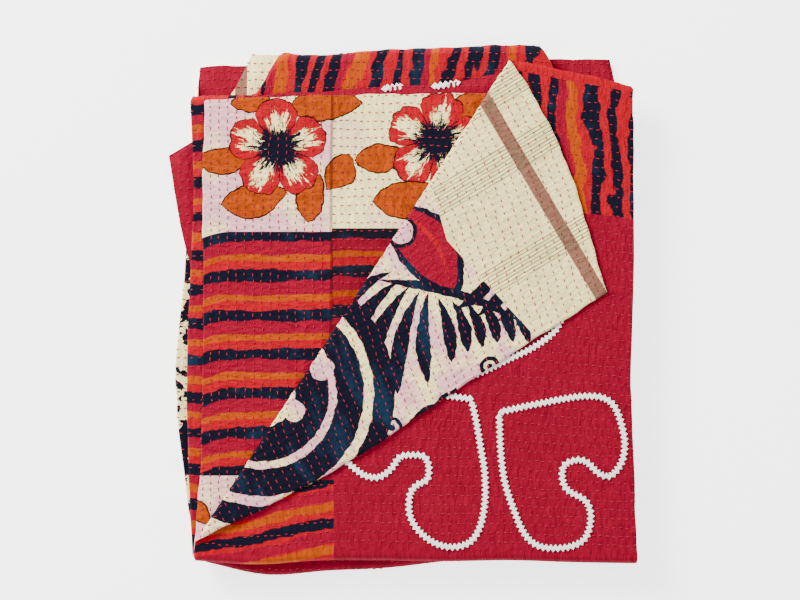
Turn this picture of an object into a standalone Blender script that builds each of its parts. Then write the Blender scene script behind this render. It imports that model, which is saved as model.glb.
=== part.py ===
"""A quilted patchwork throw, folded into a pile with its top corner turned back.

The throw is one sheet. It is folded in three across its width and then in four along its length,
which leaves a pile of twelve layers, and the free corner of the top layer is turned back over it.
Zigzag braid is sewn on the plain red face in curled petals.

The pile stands on z = 0. Before it is centred, x runs to the right from the left side folds and
y runs from the bottom folds to the loose ends. Layers are counted from 0, on the floor, to 11.
"""

import math
from collections import namedtuple

import bmesh
import bpy
import numpy as np
from mathutils import Vector
from mathutils.bvhtree import BVHTree

# Driving sizes, in metres
FOLDED_WIDTH = 0.434
FOLDED_LENGTH = 0.467
CLOTH = 0.0014
PITCH = 0.0027
THIRDS = 3
QUARTERS = 4
TOP_LAYER = THIRDS * QUARTERS - 1

# Radii of the side folds and of the middle layer in the end folds, and the flat runs between them
SIDE_RADIUS = PITCH / 2
END_RADIUS = THIRDS * PITCH / 2
RUN_WIDTH = FOLDED_WIDTH - 2 * SIDE_RADIUS - CLOTH
RUN_LENGTH = FOLDED_LENGTH - 2 * (END_RADIUS + PITCH) - CLOTH

# How finely the folds are cut: segments in each half turn, and stations along each flat run
SIDE_FOLD_STEPS = 4
END_FOLD_STEPS = 5
CORNER_FOLD_STEPS = 4
ACROSS_STATIONS = (
    0, 0.009, 0.037, 0.046, 0.060, 0.093, 0.145, 0.210, 0.280, 0.345, 0.378, 0.404, 0.414, 0.434,
)
ALONG_STATIONS = (0, 0.03, 0.11, 0.2, 0.298, 0.385, 0.467)
JUTTING_QUARTER = 2
JUTTING_STATIONS = (0, 0.053, 0.060, 0.112, 0.169, 0.267, 0.357, 0.437, 0.467)

# The turned-back corner: its crease runs from the loose end to the side edge
CREASE_TOP = Vector((0.307, 0.500))
CREASE_FOOT = Vector((-0.008, 0.017))
CREASE_RADIUS = 0.0022
CORNER_LIFT = 0.0015

# How much fuller the pile is over its folds than in the middle
END_FULLNESS = 0.08
SIDE_FULLNESS = 0.05
FULLNESS_WIDTH = 0.055
WAVE_HEIGHT = 0.02
WAVE_LENGTHS = (0.31, 0.37)

# Zigzag braid
BRAID_WIDTH = 0.0042
BRAID_SWING = 0.0024
BRAID_PERIOD = 0.0048
BRAID_THICKNESS = 0.0009
BRAID_GAP = 0.00045

# How far each edge or fold reaches past the nominal outline, in millimetres, at the stations named.
# Across the width the sheet has a loose left edge, a fold on the right, a fold on the left and a
# loose right edge. A row for each quarter of its length, from the top of the pile down.
SIDE_STATIONS = (0, 0.017, 0.093, 0.187, 0.280, 0.374, 0.467)
Sides = namedtuple("Sides", "loose_left fold_left fold_right loose_right")
SIDES = (
    Sides(
        loose_left=(10, 8, 3, -7, -22, -37, -54),
        fold_left=(9, 8, 2, 0, -1, 0, -3),
        fold_right=(1.5, 1, -2, -5, -3, -2, -3),
        loose_right=(-8, -8, -10, -12, -9, -7, -12),
    ),
    Sides(
        loose_left=(8, 8, 8, 9, 6, 4, 6),
        fold_left=(10, 11, 14, 16, 13, 9, 13),
        fold_right=(2, 1, -3, -4, -1, -1, -6),
        loose_right=(-8, -9, -12, -12, -9, -8, -8),
    ),
    Sides(
        loose_left=(0, 4, 8, 9, 12, 10, 4),
        fold_left=(-1, 6, 20, 28, 20, 14, 8),
        fold_right=(1, 1, 0, -4, -4, -3, -8),
        loose_right=(-10, -9, -14, -12, -10, -9, -9),
    ),
    Sides(
        loose_left=(-4, 1, 6, 8, 6, 2, -8),
        fold_left=(-3, 3, 12, 14, 10, 6, -2),
        fold_right=(-3, -3, -5, -6, -4, -6, -10),
        loose_right=(-8, -8, -12, -14, -12, -14, -14),
    ),
)

# Along the length, a row for the loose end of each third in the first and in the last quarter,
# and one for each of the three turns between quarters.
END_STATIONS = (0, 0.062, 0.124, 0.186, 0.248, 0.310, 0.372, 0.434)
TOP_ENDS = (
    (30, 33, 35, 36, 36, 33, 22, 4),
    (-2, 1, 3, 4, 5, 5, -2, -10),
    (-4, 4, 7, 10, 13, 25, 15, -6),
)
LAST_ENDS = (
    (5, 15, 20, 20, 20, 20, 15, 0),
    (-8, -8, -8, -8, -8, -8, -8, -10),
    (-8, -8, -8, -8, -8, -8, -8, -10),
)
UPPER_BOTTOM_TURN = (-1, 3, -1, -1, 0, -1, 1, 2)
TOP_TURN = (0, 1, -5, 0, 2, 4, 2, -6)
LOWER_BOTTOM_TURN = (4, 12, 7, 5, 0, -3, -2, -2)

# Stretches that stick out further: in which third they are, where they start and end along their
# edge, how far they reach there in millimetres, and how long each end takes to reach that far.
Jut = namedtuple("Jut", "third start end reach_start reach_end ramp")
TOP_TURN_JUTS = (
    Jut(0, 0.097, 0.337, 38, 42, 0.050),
    Jut(1, 0.084, 0.355, 42, 44, 0.040),
    Jut(2, 0.060, 0.378, 46, 48, 0.033),
)
LAST_END_JUTS = (
    Jut(1, 0, 0.414, 34, 44, 0.009),
    Jut(2, 0.037, 0.350, 47, 42, 0.009),
)
LEFT_JUT = Jut(0, 0.298, 0.414, 4, 25, 0.007)
JUT_DEPTH = 0.15

# Routes of the braid on the red face, before the pile is centred
RIGHT_PETAL = (
    (0.298, 0.150), (0.335, 0.158), (0.384, 0.166), (0.410, 0.159), (0.422, 0.128), (0.421, 0.103),
    (0.410, 0.087), (0.398, 0.088), (0.385, 0.100), (0.374, 0.102), (0.362, 0.096), (0.361, 0.081),
    (0.367, 0.071), (0.384, 0.061), (0.389, 0.045), (0.384, 0.025), (0.370, 0.016), (0.349, 0.014),
    (0.333, 0.018), (0.321, 0.031), (0.311, 0.055), (0.303, 0.080), (0.299, 0.110), (0.299, 0.142),
)
LEFT_PETAL = (
    (0.270, 0.163), (0.227, 0.168), (0.182, 0.166), (0.150, 0.156), (0.137, 0.137), (0.138, 0.117),
    (0.144, 0.102), (0.152, 0.094), (0.164, 0.086), (0.178, 0.085), (0.190, 0.094), (0.198, 0.105),
    (0.211, 0.107), (0.223, 0.105), (0.227, 0.094), (0.225, 0.082), (0.215, 0.077), (0.208, 0.067),
    (0.208, 0.047), (0.217, 0.031), (0.233, 0.019), (0.251, 0.015), (0.268, 0.020), (0.278, 0.035),
    (0.283, 0.059), (0.283, 0.088), (0.279, 0.114), (0.273, 0.143), (0.270, 0.156),
)
CORNER_RUN = (
    (0.252, 0.176), (0.266, 0.185), (0.282, 0.191), (0.307, 0.203), (0.332, 0.215), (0.353, 0.231),
    (0.362, 0.250),
)

RED = (0.54, 0.004, 0.017)
WHITE = (0.86, 0.82, 0.74)


def clear_scene():
    for obj in list(bpy.data.objects):
        bpy.data.objects.remove(obj)


def material(name, colour, roughness):
    made = bpy.data.materials.new(name)
    made.use_nodes = True
    shader = made.node_tree.nodes["Principled BSDF"]
    shader.inputs["Base Color"].default_value = (*colour, 1)
    shader.inputs["Roughness"].default_value = roughness
    shader.inputs["Metallic"].default_value = 0
    return made


def half_turn(run, radius, steps):
    """The places along a back-and-forth path at which a half turn after run is cut."""
    return [run + math.pi * radius * i / steps for i in range(1, steps)]


def path_places(runs, length, radius, steps):
    """Places along a back-and-forth path: the stations of each run, and those of each turn."""
    places = []
    start = 0
    for number, stations in enumerate(runs):
        forward = [station / stations[-1] * length for station in stations]
        if number % 2:
            forward = [length - station for station in reversed(forward)]
        places += [start + station for station in forward]
        if number < len(runs) - 1:
            places += [start + turn for turn in half_turn(length, radius, steps)]
        start += length + math.pi * radius
    return places


def back_and_forth(place, length, radius):
    """Where a place is on a path of runs joined by half turns.

    It gives the place along the run, how far down it is, the normal's two parts, and the number of
    the run, which grows evenly through a half turn.
    """
    period = length + math.pi * radius
    number = int(place // period)
    rest = place - number * period
    side = -1 if number % 2 else 1
    angle = max(0, rest - length) / radius
    flat = min(rest, length)
    along = (flat if side > 0 else length - flat) + side * radius * math.sin(angle)
    down = 2 * radius * number + radius * (1 - math.cos(angle))
    return along, down, math.sin(angle), side * math.cos(angle), number + angle / math.pi


def fold(width_place, length_place):
    """Where a point of the flat sheet lies in the pile, and in which third and quarter it is."""
    across, sunk, _, _, third = back_and_forth(width_place, RUN_WIDTH, SIDE_RADIUS)
    x = across + (FOLDED_WIDTH - RUN_WIDTH) / 2
    height = PITCH - sunk
    path = back_and_forth(length_place, RUN_LENGTH, END_RADIUS)
    back, down, normal_back, normal_up, quarter = path
    y = (FOLDED_LENGTH + RUN_LENGTH) / 2 - back - height * normal_back
    middle_of_top_quarter = CLOTH / 2 + (TOP_LAYER - 1) * PITCH
    return x, y, middle_of_top_quarter - down + height * normal_up, third, quarter


def between_rows(rows, number, stations, place):
    """A value read at a place from the rows on either side of a number that may be a fraction."""
    low = min(int(number), len(rows) - 1)
    high = min(low + 1, len(rows) - 1)
    share = number - low
    first = np.interp(place, stations, rows[low])
    return first + (np.interp(place, stations, rows[high]) - first) * share


def jut_reach(jut, place):
    if not jut.start < place < jut.end:
        return 0
    share = (place - jut.start) / (jut.end - jut.start)
    reach = jut.reach_start + (jut.reach_end - jut.reach_start) * share
    return reach * min(1, (place - jut.start) / jut.ramp, (jut.end - place) / jut.ramp)


def top_reach(third, quarter, x):
    """How far the pile reaches past its nominal far end, and how much of that is a jut."""
    if quarter < 0.5:
        return between_rows(TOP_ENDS, third, END_STATIONS, x), 0
    if quarter > 2.5:
        rows, juts = LAST_ENDS, LAST_END_JUTS
    else:
        rows, juts = [TOP_TURN] * THIRDS, TOP_TURN_JUTS
    shares = [max(0, 1 - abs(third - jut.third)) for jut in juts]
    jut = sum(share * jut_reach(jut, x) for share, jut in zip(shares, juts))
    return between_rows(rows, third, END_STATIONS, x), jut


def uneven(x, y, z, third, quarter):
    """The same point once each layer's edges reach as far as they do on the real pile."""
    across = min(1, max(0, x / FOLDED_WIDTH))
    along = min(1, max(0, y / FOLDED_LENGTH))
    lefts = [row.loose_left if third < 0.5 else row.fold_left for row in SIDES]
    rights = [row.fold_right if third < 1.5 else row.loose_right for row in SIDES]
    left = between_rows(lefts, quarter, SIDE_STATIONS, y) * (1 - across)
    right = between_rows(rights, quarter, SIDE_STATIONS, y) * across
    if third < 0.5 and quarter == JUTTING_QUARTER:
        left += jut_reach(LEFT_JUT, y) * max(0, 1 - x / JUT_DEPTH)
    reach, jut = top_reach(third, quarter, x)
    top = reach * along + jut * max(0, 1 - (FOLDED_LENGTH - y) / JUT_DEPTH)
    turn = UPPER_BOTTOM_TURN if quarter < 1.5 else LOWER_BOTTOM_TURN
    bottom = np.interp(x, END_STATIONS, turn) * (1 - along)
    return x + (right - left) / 1000, y + (top - bottom) / 1000, z


def fullness(x, y):
    """How much the pile's height is multiplied by at a place seen from above."""
    ends = math.exp(-((y / FULLNESS_WIDTH) ** 2)) + math.exp(-(((FOLDED_LENGTH - y) / FULLNESS_WIDTH) ** 2))
    sides = math.exp(-((x / FULLNESS_WIDTH) ** 2)) + math.exp(-(((FOLDED_WIDTH - x) / FULLNESS_WIDTH) ** 2))
    wave = math.sin(math.tau * x / WAVE_LENGTHS[0] + 1) * math.sin(math.tau * y / WAVE_LENGTHS[1] + 0.5)
    return 1 + END_FULLNESS * min(1, ends) + SIDE_FULLNESS * min(1, sides) + WAVE_HEIGHT * wave


def flat_sheet():
    """The sheet as a grid primitive, its lines moved to the stations of the folds."""
    widths = path_places([ACROSS_STATIONS] * THIRDS, RUN_WIDTH, SIDE_RADIUS, SIDE_FOLD_STEPS)
    runs = [ALONG_STATIONS] * QUARTERS
    runs[JUTTING_QUARTER] = JUTTING_STATIONS
    lengths = path_places(runs, RUN_LENGTH, END_RADIUS, END_FOLD_STEPS)
    sheet = bmesh.new()
    columns, rows = len(widths) - 1, len(lengths) - 1
    bmesh.ops.create_grid(sheet, x_segments=columns, y_segments=rows, size=1)
    for vert in sheet.verts:
        column = round((vert.co.x + 1) / 2 * columns)
        row = round((vert.co.y + 1) / 2 * rows)
        vert.co = (widths[column], lengths[row], 0)
    return sheet


def crease_frame():
    """The crease's direction and the direction in the plane from it to the corner that turns."""
    along = (CREASE_FOOT - CREASE_TOP).normalized()
    across = Vector((along.y, -along.x))
    start = CREASE_TOP - across * CREASE_RADIUS
    return start, along, across


def top_layer_height():
    return CLOTH / 2 + TOP_LAYER * PITCH


def cut_along_crease(sheet):
    """Cuts the top layer along the start, the end and the steps of the corner's half turn."""
    start, _, across = crease_frame()
    plane_normal = Vector((*across, 0))
    for step in range(CORNER_FOLD_STEPS + 1):
        offset = math.pi * CREASE_RADIUS * step / CORNER_FOLD_STEPS
        on_top = [vert for vert in sheet.verts if vert.co.z > top_layer_height() - 1e-6]
        chosen = set(on_top)
        faces = [face for face in sheet.faces if all(vert in chosen for vert in face.verts)]
        edges = {edge for face in faces for edge in face.edges}
        bmesh.ops.bisect_plane(
            sheet,
            geom=faces + list(edges) + on_top,
            dist=1e-6,
            plane_co=(*(start + across * offset), 0),
            plane_no=plane_normal,
        )


def turn_corner_back(sheet):
    """Rolls what lies past the crease over a half turn and lays it on the pile."""
    start, along, across = crease_frame()
    for vert in sheet.verts:
        past = (vert.co.xy - start).dot(across)
        if vert.co.z < top_layer_height() - 1e-6 or past <= 0:
            continue
        angle = min(past / CREASE_RADIUS, math.pi)
        laid = max(0, past - math.pi * CREASE_RADIUS)
        place = start + along * (vert.co.xy - start).dot(along)
        place += across * (CREASE_RADIUS * math.sin(angle) - laid)
        lift = CORNER_LIFT * min(1, laid / 0.1) ** 2
        vert.co = (*place, vert.co.z + CREASE_RADIUS * (1 - math.cos(angle)) + lift)


def make_throw(collection):
    sheet = flat_sheet()
    for vert in sheet.verts:
        vert.co = uneven(*fold(vert.co.x, vert.co.y))
    cut_along_crease(sheet)
    turn_corner_back(sheet)
    for vert in sheet.verts:
        rise = (vert.co.z - CLOTH / 2) * fullness(vert.co.x, vert.co.y)
        vert.co.z = CLOTH / 2 + rise
    bmesh.ops.recalc_face_normals(sheet, faces=sheet.faces)
    mesh = bpy.data.meshes.new("throw")
    sheet.to_mesh(mesh)
    sheet.free()
    mesh.shade_smooth()
    throw = bpy.data.objects.new("throw", mesh)
    collection.objects.link(throw)
    solid = throw.modifiers.new("thickness", "SOLIDIFY")
    solid.thickness = CLOTH
    solid.offset = 0
    solid.use_even_offset = True
    mesh.materials.append(material("quilted_cotton", RED, 0.9))
    return throw


def smooth_route(points, spacing):
    """Points a fixed spacing apart on a smooth curve through the route's own points."""
    knots = [Vector(point) for point in points]
    fine = []
    for i in range(len(knots) - 1):
        before = knots[max(0, i - 1)]
        after = knots[min(len(knots) - 1, i + 2)]
        for step in range(12):
            t = step / 12
            first = knots[i] + (knots[i + 1] - before) * (t / 2) * (1 - t) ** 2
            bend = t * t * (3 - 2 * t)
            last = (knots[i + 1] - knots[i]) * bend - (after - knots[i]) * 0.5 * t * t * (1 - t)
            fine.append(first + last)
    fine.append(knots[-1])
    line = np.array(fine)
    far = np.concatenate([[0], np.cumsum(np.linalg.norm(np.diff(line, axis=0), axis=1))])
    places = np.linspace(0, far[-1], max(2, round(far[-1] / spacing)) + 1)
    return [Vector((np.interp(p, far, line[:, 0]), np.interp(p, far, line[:, 1]))) for p in places]


def make_braid(name, route, surface, collection):
    """A flat zigzag ribbon laid on the red face, a little above it."""
    middle = smooth_route(route, BRAID_PERIOD / 2)
    steps = len(middle) - 1
    ribbon = bmesh.new()
    bmesh.ops.create_grid(ribbon, x_segments=steps, y_segments=1, size=1)
    for vert in ribbon.verts:
        i = round((vert.co.x + 1) / 2 * steps)
        ahead = (middle[min(steps, i + 1)] - middle[max(0, i - 1)]).normalized()
        sideways = Vector((-ahead.y, ahead.x))
        swing = BRAID_SWING * (1 if i % 2 else -1)
        place = middle[i] + sideways * (swing + BRAID_WIDTH / 2 * (1 if vert.co.y > 0 else -1))
        hit = surface.ray_cast(Vector((*place, seam_height(surface, place))), Vector((0, 0, -1)))
        vert.co = (*place, hit[0].z + BRAID_GAP)
    mesh = bpy.data.meshes.new(name)
    bmesh.ops.recalc_face_normals(ribbon, faces=ribbon.faces)
    if sum(face.normal.z for face in ribbon.faces) < 0:
        bmesh.ops.reverse_faces(ribbon, faces=ribbon.faces)
    ribbon.to_mesh(mesh)
    ribbon.free()
    braid = bpy.data.objects.new(name, mesh)
    collection.objects.link(braid)
    solid = braid.modifiers.new("thickness", "SOLIDIFY")
    solid.thickness = BRAID_THICKNESS
    solid.offset = 1
    mesh.materials.append(material(name + "_cotton", WHITE, 0.8))
    return braid


def seam_height(surface, place):
    """A height between the top layer and the turned-back corner above a place."""
    return top_layer_height() * fullness(*place) + CLOTH / 2 + CREASE_RADIUS


def surface_of(obj):
    graph = bpy.context.evaluated_depsgraph_get()
    return BVHTree.FromObject(obj, graph)


def centre(objects):
    """Moves the objects so that the middle of their shared box stands on the origin."""
    bpy.context.view_layer.update()
    graph = bpy.context.evaluated_depsgraph_get()
    corners = [Vector(c) for obj in objects for c in obj.evaluated_get(graph).bound_box]
    for axis in (0, 1):
        values = [corner[axis] for corner in corners]
        middle = (min(values) + max(values)) / 2
        for obj in objects:
            obj.location[axis] = -middle


def main():
    clear_scene()
    collection = bpy.data.collections.new("folded_throw")
    bpy.context.scene.collection.children.link(collection)
    throw = make_throw(collection)
    bpy.context.view_layer.update()
    surface = surface_of(throw)
    braids = [
        make_braid("rickrack_right", RIGHT_PETAL, surface, collection),
        make_braid("rickrack_left", LEFT_PETAL, surface, collection),
        make_braid("rickrack_edge", CORNER_RUN, surface, collection),
    ]
    centre([throw, *braids])


if __name__ == "__main__":
    main()
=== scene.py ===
"""A quilted patchwork throw, folded into a pile with its top corner turned back.

One sheet of running-stitched cotton is folded in three across and in four along. Its face is plain
crimson with zigzag braid, and its reverse is printed with flowers, stripes and plumes.
"""

import math
from collections import namedtuple

import bmesh
import bpy
import numpy as np
from bpy.props import FloatProperty, FloatVectorProperty, IntProperty, PointerProperty
from mathutils import Matrix, Vector, noise
from mathutils.bvhtree import BVHTree


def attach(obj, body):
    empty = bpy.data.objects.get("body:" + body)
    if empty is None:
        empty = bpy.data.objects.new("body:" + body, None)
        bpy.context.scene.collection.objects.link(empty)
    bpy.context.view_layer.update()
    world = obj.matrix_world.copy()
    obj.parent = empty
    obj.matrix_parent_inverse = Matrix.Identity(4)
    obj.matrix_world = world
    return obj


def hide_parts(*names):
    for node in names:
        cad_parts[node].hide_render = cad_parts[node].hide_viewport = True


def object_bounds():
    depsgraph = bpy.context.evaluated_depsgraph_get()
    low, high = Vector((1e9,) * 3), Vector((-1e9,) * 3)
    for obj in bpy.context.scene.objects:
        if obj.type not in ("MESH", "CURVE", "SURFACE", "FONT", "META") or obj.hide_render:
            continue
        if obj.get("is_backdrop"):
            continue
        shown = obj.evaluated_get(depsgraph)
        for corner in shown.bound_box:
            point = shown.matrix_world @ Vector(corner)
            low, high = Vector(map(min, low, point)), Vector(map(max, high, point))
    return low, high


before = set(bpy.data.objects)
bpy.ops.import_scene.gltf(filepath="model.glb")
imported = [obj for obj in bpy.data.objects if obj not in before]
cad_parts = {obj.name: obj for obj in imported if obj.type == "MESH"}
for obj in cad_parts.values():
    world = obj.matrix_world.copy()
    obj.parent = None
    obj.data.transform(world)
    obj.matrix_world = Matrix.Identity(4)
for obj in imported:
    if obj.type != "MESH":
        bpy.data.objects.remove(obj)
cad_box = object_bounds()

bl_info = {
    "name": "Folded quilted throw",
    "version": (1, 0, 0),
    "blender": (4, 5, 0),
    "location": "View3D > Sidebar > Throw",
    "description": "Builds a folded patchwork throw with its stitches and zigzag braid",
    "category": "Object",
}


# The kinds of node that are used most
MATH, VECTOR_MATH, MAP_RANGE = "ShaderNodeMath", "ShaderNodeVectorMath", "ShaderNodeMapRange"
NOISE, MIX, GROUP = "ShaderNodeTexNoise", "ShaderNodeMix", "ShaderNodeGroup"


def linear(code):
    """An sRGB hex colour as linear red, green, blue and an alpha of 1."""
    parts = [int(code[i:i + 2], 16) / 255 for i in (1, 3, 5)]
    return (*[c / 12.92 if c <= 0.04045 else ((c + 0.055) / 1.055) ** 2.4 for c in parts], 1)


# Folding sizes, in metres
FOLDED_WIDTH = 0.434
FOLDED_LENGTH = 0.467
CLOTH = 0.0014
PITCH = 0.0027
THIRDS = 3
QUARTERS = 4
TOP_LAYER = THIRDS * QUARTERS - 1
SIDE_RADIUS = PITCH / 2
END_RADIUS = THIRDS * PITCH / 2
RUN_WIDTH = FOLDED_WIDTH - 2 * SIDE_RADIUS - CLOTH
RUN_LENGTH = FOLDED_LENGTH - 2 * (END_RADIUS + PITCH) - CLOTH
SIDE_FOLD_STEPS = 8
END_FOLD_STEPS = 8
CORNER_FOLD_STEPS = 8

# The crease of the turned-back corner, and how far that corner sinks towards the cloth under it
CREASE_TOP = Vector((0.307, 0.500))
CREASE_FOOT = Vector((-0.008, 0.017))
CORNER_TIP = Vector((0.404, 0.269))
CREASE_RADIUS = 0.0022
CORNER_SINK = 0.0013
SINK_LENGTH = 0.06

# The middle of the pile, measured from its lower left corner
PILE_CENTRE = (0.203579, 0.252729)

END_FULLNESS = 0.08
SIDE_FULLNESS = 0.05
FULLNESS_WIDTH = 0.055
WAVE_HEIGHT = 0.02
WAVE_LENGTHS = (0.31, 0.37)

# Waves of each layer's edges: reach in millimetres, rate along the edge, and share of a shift that
# grows with each third and each quarter
EDGE_WAVES = ((0.5, 95, 1), (0.35, 241, 2.3))
LAYER_SHIFTS = (1.7, 2.9)
# How far a row of stitches strays, and parts of the puckers as shares of their full height: the
# swell between two rows, the gathers across it, the broad waves, and how far all of it is sunk
ROW_WANDER = 0.0013
SWELL_SHARE = 0.85
GATHER_SHARE = 0.75
BROAD_SHARE = 0.9
SUNK_SHARE = 0.4

# Values kept with each point of the cloth: its place on the flat sheet and in the laid pile
PLACES = ("across", "along", "laid_x", "laid_y", "turned")
# Where the two printed patches beside the turned-back corner meet
PATCH_SEAM = 0.130
# Cells of the sheet before the seen cloth is cut finer, and into how many each of those is cut
COARSE_ACROSS = (35, 35, 24)
COARSE_ALONG = (38, 12, 26, 16)
FINE_CUTS = 3
SEEN_MARGIN = 0.012

# Rings of one stitch: place as a share of half its length, thickness, and height above its axis
STITCH_RINGS = ((-1, 0.5, -1.5), (-0.6, 1, 0.3), (0.6, 1, 0.3), (1, 0.5, -1.5))
STITCH_SIDES = 5
# How far hand stitches stray, how much they turn, and their shortest and longest share of a length
STITCH_SCATTER = 0.0007
STITCH_TURN = 0.14
STITCH_SHARES = (0.75, 1.2)
# Points along each row, of which a run of stitches needs more than two on one kind of cloth
ROW_POINTS = 170
FEWEST_POINTS = 3
# The braid's band, and the height that it is dropped onto the cloth from
BRAID_THICKNESS = 0.0009
BRAID_ROUNDING = 0.0004
BRAID_HEIGHT = 0.1

# How far each edge or fold reaches past the nominal outline, in millimetres, at the stations named
SIDE_STATIONS = (0, 0.017, 0.093, 0.187, 0.280, 0.374, 0.467)
Sides = namedtuple("Sides", "loose_left fold_left fold_right loose_right")
SIDES = (
    Sides(
        loose_left=(10, 9, 6, -3, -21, -38, -54),
        fold_left=(9, 8, 2, 0, -1, 0, -3),
        fold_right=(1.5, 1, -2, -5, -3, -2, -3),
        loose_right=(-8, -8, -10, -12, -9, -7, -12),
    ),
    Sides(
        loose_left=(8, 8, 8, 9, 6, 4, 6),
        fold_left=(10, 11, 14, 16, 13, 9, 13),
        fold_right=(2, 1, -3, -4, -1, -1, -6),
        loose_right=(-8, -9, -12, -12, -9, -8, -8),
    ),
    Sides(
        loose_left=(0, 4, 8, 9, 12, 10, 4),
        fold_left=(-1, 6, 20, 28, 20, 14, 8),
        fold_right=(1, 1, 0, -4, -4, -3, -8),
        loose_right=(-10, -9, -14, -12, -10, -9, -9),
    ),
    Sides(
        loose_left=(-4, 1, 6, 8, 6, 2, -8),
        fold_left=(-3, 3, 12, 14, 10, 8, 6),
        fold_right=(-3, -3, -5, -6, -4, -6, -10),
        loose_right=(-8, -8, -12, -14, -12, -14, -14),
    ),
)
END_STATIONS = (0, 0.062, 0.124, 0.186, 0.248, 0.310, 0.372, 0.434)
TOP_ENDS = (
    (39, 46, 53, 55, 51, 41, 30, 17),
    (3, 6, 8, 9, 10, 11, 12, 13),
    (0, 9, 12, 17, 20, 30, 22, 9),
)
LAST_ENDS = (
    (5, 15, 20, 20, 20, 20, 15, 0),
    (-8, -8, -8, -8, -8, -8, -8, -10),
    (-8, -8, -8, -8, -8, -8, -8, -10),
)
UPPER_BOTTOM_TURN = (-1, 3, -1, -1, 0, -1, 1, 2)
TOP_TURN = (0, 1, -5, 0, 2, 4, 2, -6)
LOWER_BOTTOM_TURN = (2, 15, 11, 8, 1, -3, -2, -2)
Jut = namedtuple("Jut", "third start end reach_start reach_end ramp")
TOP_TURN_JUTS = (
    Jut(0, 0.097, 0.337, 38, 42, 0.050),
    Jut(1, 0.084, 0.355, 42, 44, 0.040),
    Jut(2, 0.060, 0.378, 46, 48, 0.033),
)
LAST_END_JUTS = (
    Jut(1, -0.006, 0.428, 49, 58, 0.009),
    Jut(2, 0.034, 0.350, 62, 54, 0.009),
)
LEFT_JUT = Jut(0, 0.298, 0.420, 5, 32, 0.007)
JUTTING_QUARTER = 2
JUT_DEPTH = 0.15

# Routes of the braid on the red face, in metres from the pile's lower left corner
RIGHT_PETAL = (
    (0.298, 0.150), (0.335, 0.158), (0.384, 0.166), (0.410, 0.159), (0.422, 0.128), (0.421, 0.103),
    (0.410, 0.087), (0.398, 0.088), (0.385, 0.100), (0.374, 0.102), (0.362, 0.096), (0.361, 0.081),
    (0.367, 0.071), (0.384, 0.061), (0.389, 0.045), (0.384, 0.025), (0.370, 0.016), (0.349, 0.014),
    (0.333, 0.018), (0.321, 0.031), (0.311, 0.055), (0.303, 0.080), (0.299, 0.110), (0.2975, 0.147),
)
LEFT_PETAL = (
    (0.270, 0.163), (0.227, 0.168), (0.182, 0.166), (0.150, 0.156), (0.137, 0.137), (0.138, 0.117),
    (0.144, 0.102), (0.152, 0.094), (0.164, 0.086), (0.178, 0.085), (0.190, 0.094), (0.198, 0.105),
    (0.211, 0.107), (0.223, 0.105), (0.227, 0.094), (0.225, 0.082), (0.215, 0.077), (0.208, 0.067),
    (0.208, 0.047), (0.217, 0.031), (0.233, 0.019), (0.251, 0.015), (0.268, 0.020), (0.278, 0.035),
    (0.283, 0.059), (0.283, 0.088), (0.279, 0.114), (0.274, 0.143), (0.270, 0.160),
)
CORNER_RUN = (
    (0.252, 0.176), (0.266, 0.185), (0.282, 0.191), (0.307, 0.203), (0.332, 0.215), (0.353, 0.231),
    (0.362, 0.250),
)
UPPER_RUNS = (((0.181, 0.474), (0.200, 0.477)), ((0.231, 0.476), (0.257, 0.480)))

# Prints, in millimetres right of and above the pile's lower left corner, turns in degrees
Flower = namedtuple("Flower", "x y radius turn")
FLOWERS = (Flower(76, 414, 50, 20), Flower(234, 421, 50, 8))
Leaf = namedtuple("Leaf", "x y turn length width bend taper", defaults=(0,))
ORANGE_LEAVES = (
    Leaf(22, 404, 5, 54, 25, 3, -0.2),
    Leaf(124, 457, 4, 72, 34, -3, -0.2),
    Leaf(52, 365, 12, 66, 32, 4, -0.2),
    Leaf(112, 364, 76, 48, 26, -4, -0.2),
    Leaf(136, 391, 55, 40, 28, 3, 0.2),
    Leaf(48, 462, 8, 38, 18, 2),
    Leaf(179, 406, 8, 52, 27, 2, -0.2),
    Leaf(205, 367, 10, 68, 35, 4, -0.2),
    Leaf(270, 452, 20, 60, 30, -3),
    Leaf(-1, 50, -62, 28, 15, 1),
)
PLUME_LEAVES = (
    Leaf(160, 262, 44, 84, 15, -10, -0.45),
    Leaf(172, 244, 56, 94, 15, -10, -0.45),
    Leaf(187, 229, 67, 104, 16, -9, -0.45),
    Leaf(206, 220, 78, 106, 16, -7, -0.45),
    Leaf(226, 225, 90, 94, 14, -5, -0.45),
    Leaf(243, 232, 102, 66, 13, 4, -0.4),
    Leaf(258, 236, 106, 54, 12, 4, -0.4),
    Leaf(273, 238, 109, 48, 12, 3, -0.4),
    Leaf(288, 240, 112, 44, 12, 3, -0.4),
    Leaf(303, 240, 114, 42, 11, 3, -0.4),
    Leaf(318, 238, 118, 40, 11, 3, -0.4),
    Leaf(272, 269, 42, 50, 13, 4, 0.4),
    Leaf(291, 263, 44, 48, 13, 4, 0.4),
    Leaf(309, 256, 46, 42, 12, 4, 0.4),
    Leaf(326, 249, 46, 36, 11, 3, 0.4),
    Leaf(252, 259, -17, 156, 10, -10, -0.4),
    Leaf(216, 144, 40, 46, 13, 2, 0.3),
    Leaf(232, 152, 52, 44, 12, 2, 0.3),
    Leaf(246, 158, 62, 38, 12, 2, 0.3),
)
# A bud in three sizes: its dark edge, its red body and a paler streak in it
BUD = (
    (Leaf(222, 313, -52, 116, 62, -5), "navy"),
    (Leaf(221, 314, -52, 102, 50, -5), "crimson"),
    (Leaf(226, 318, -54, 70, 5, -7), "scarlet"),
)
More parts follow.
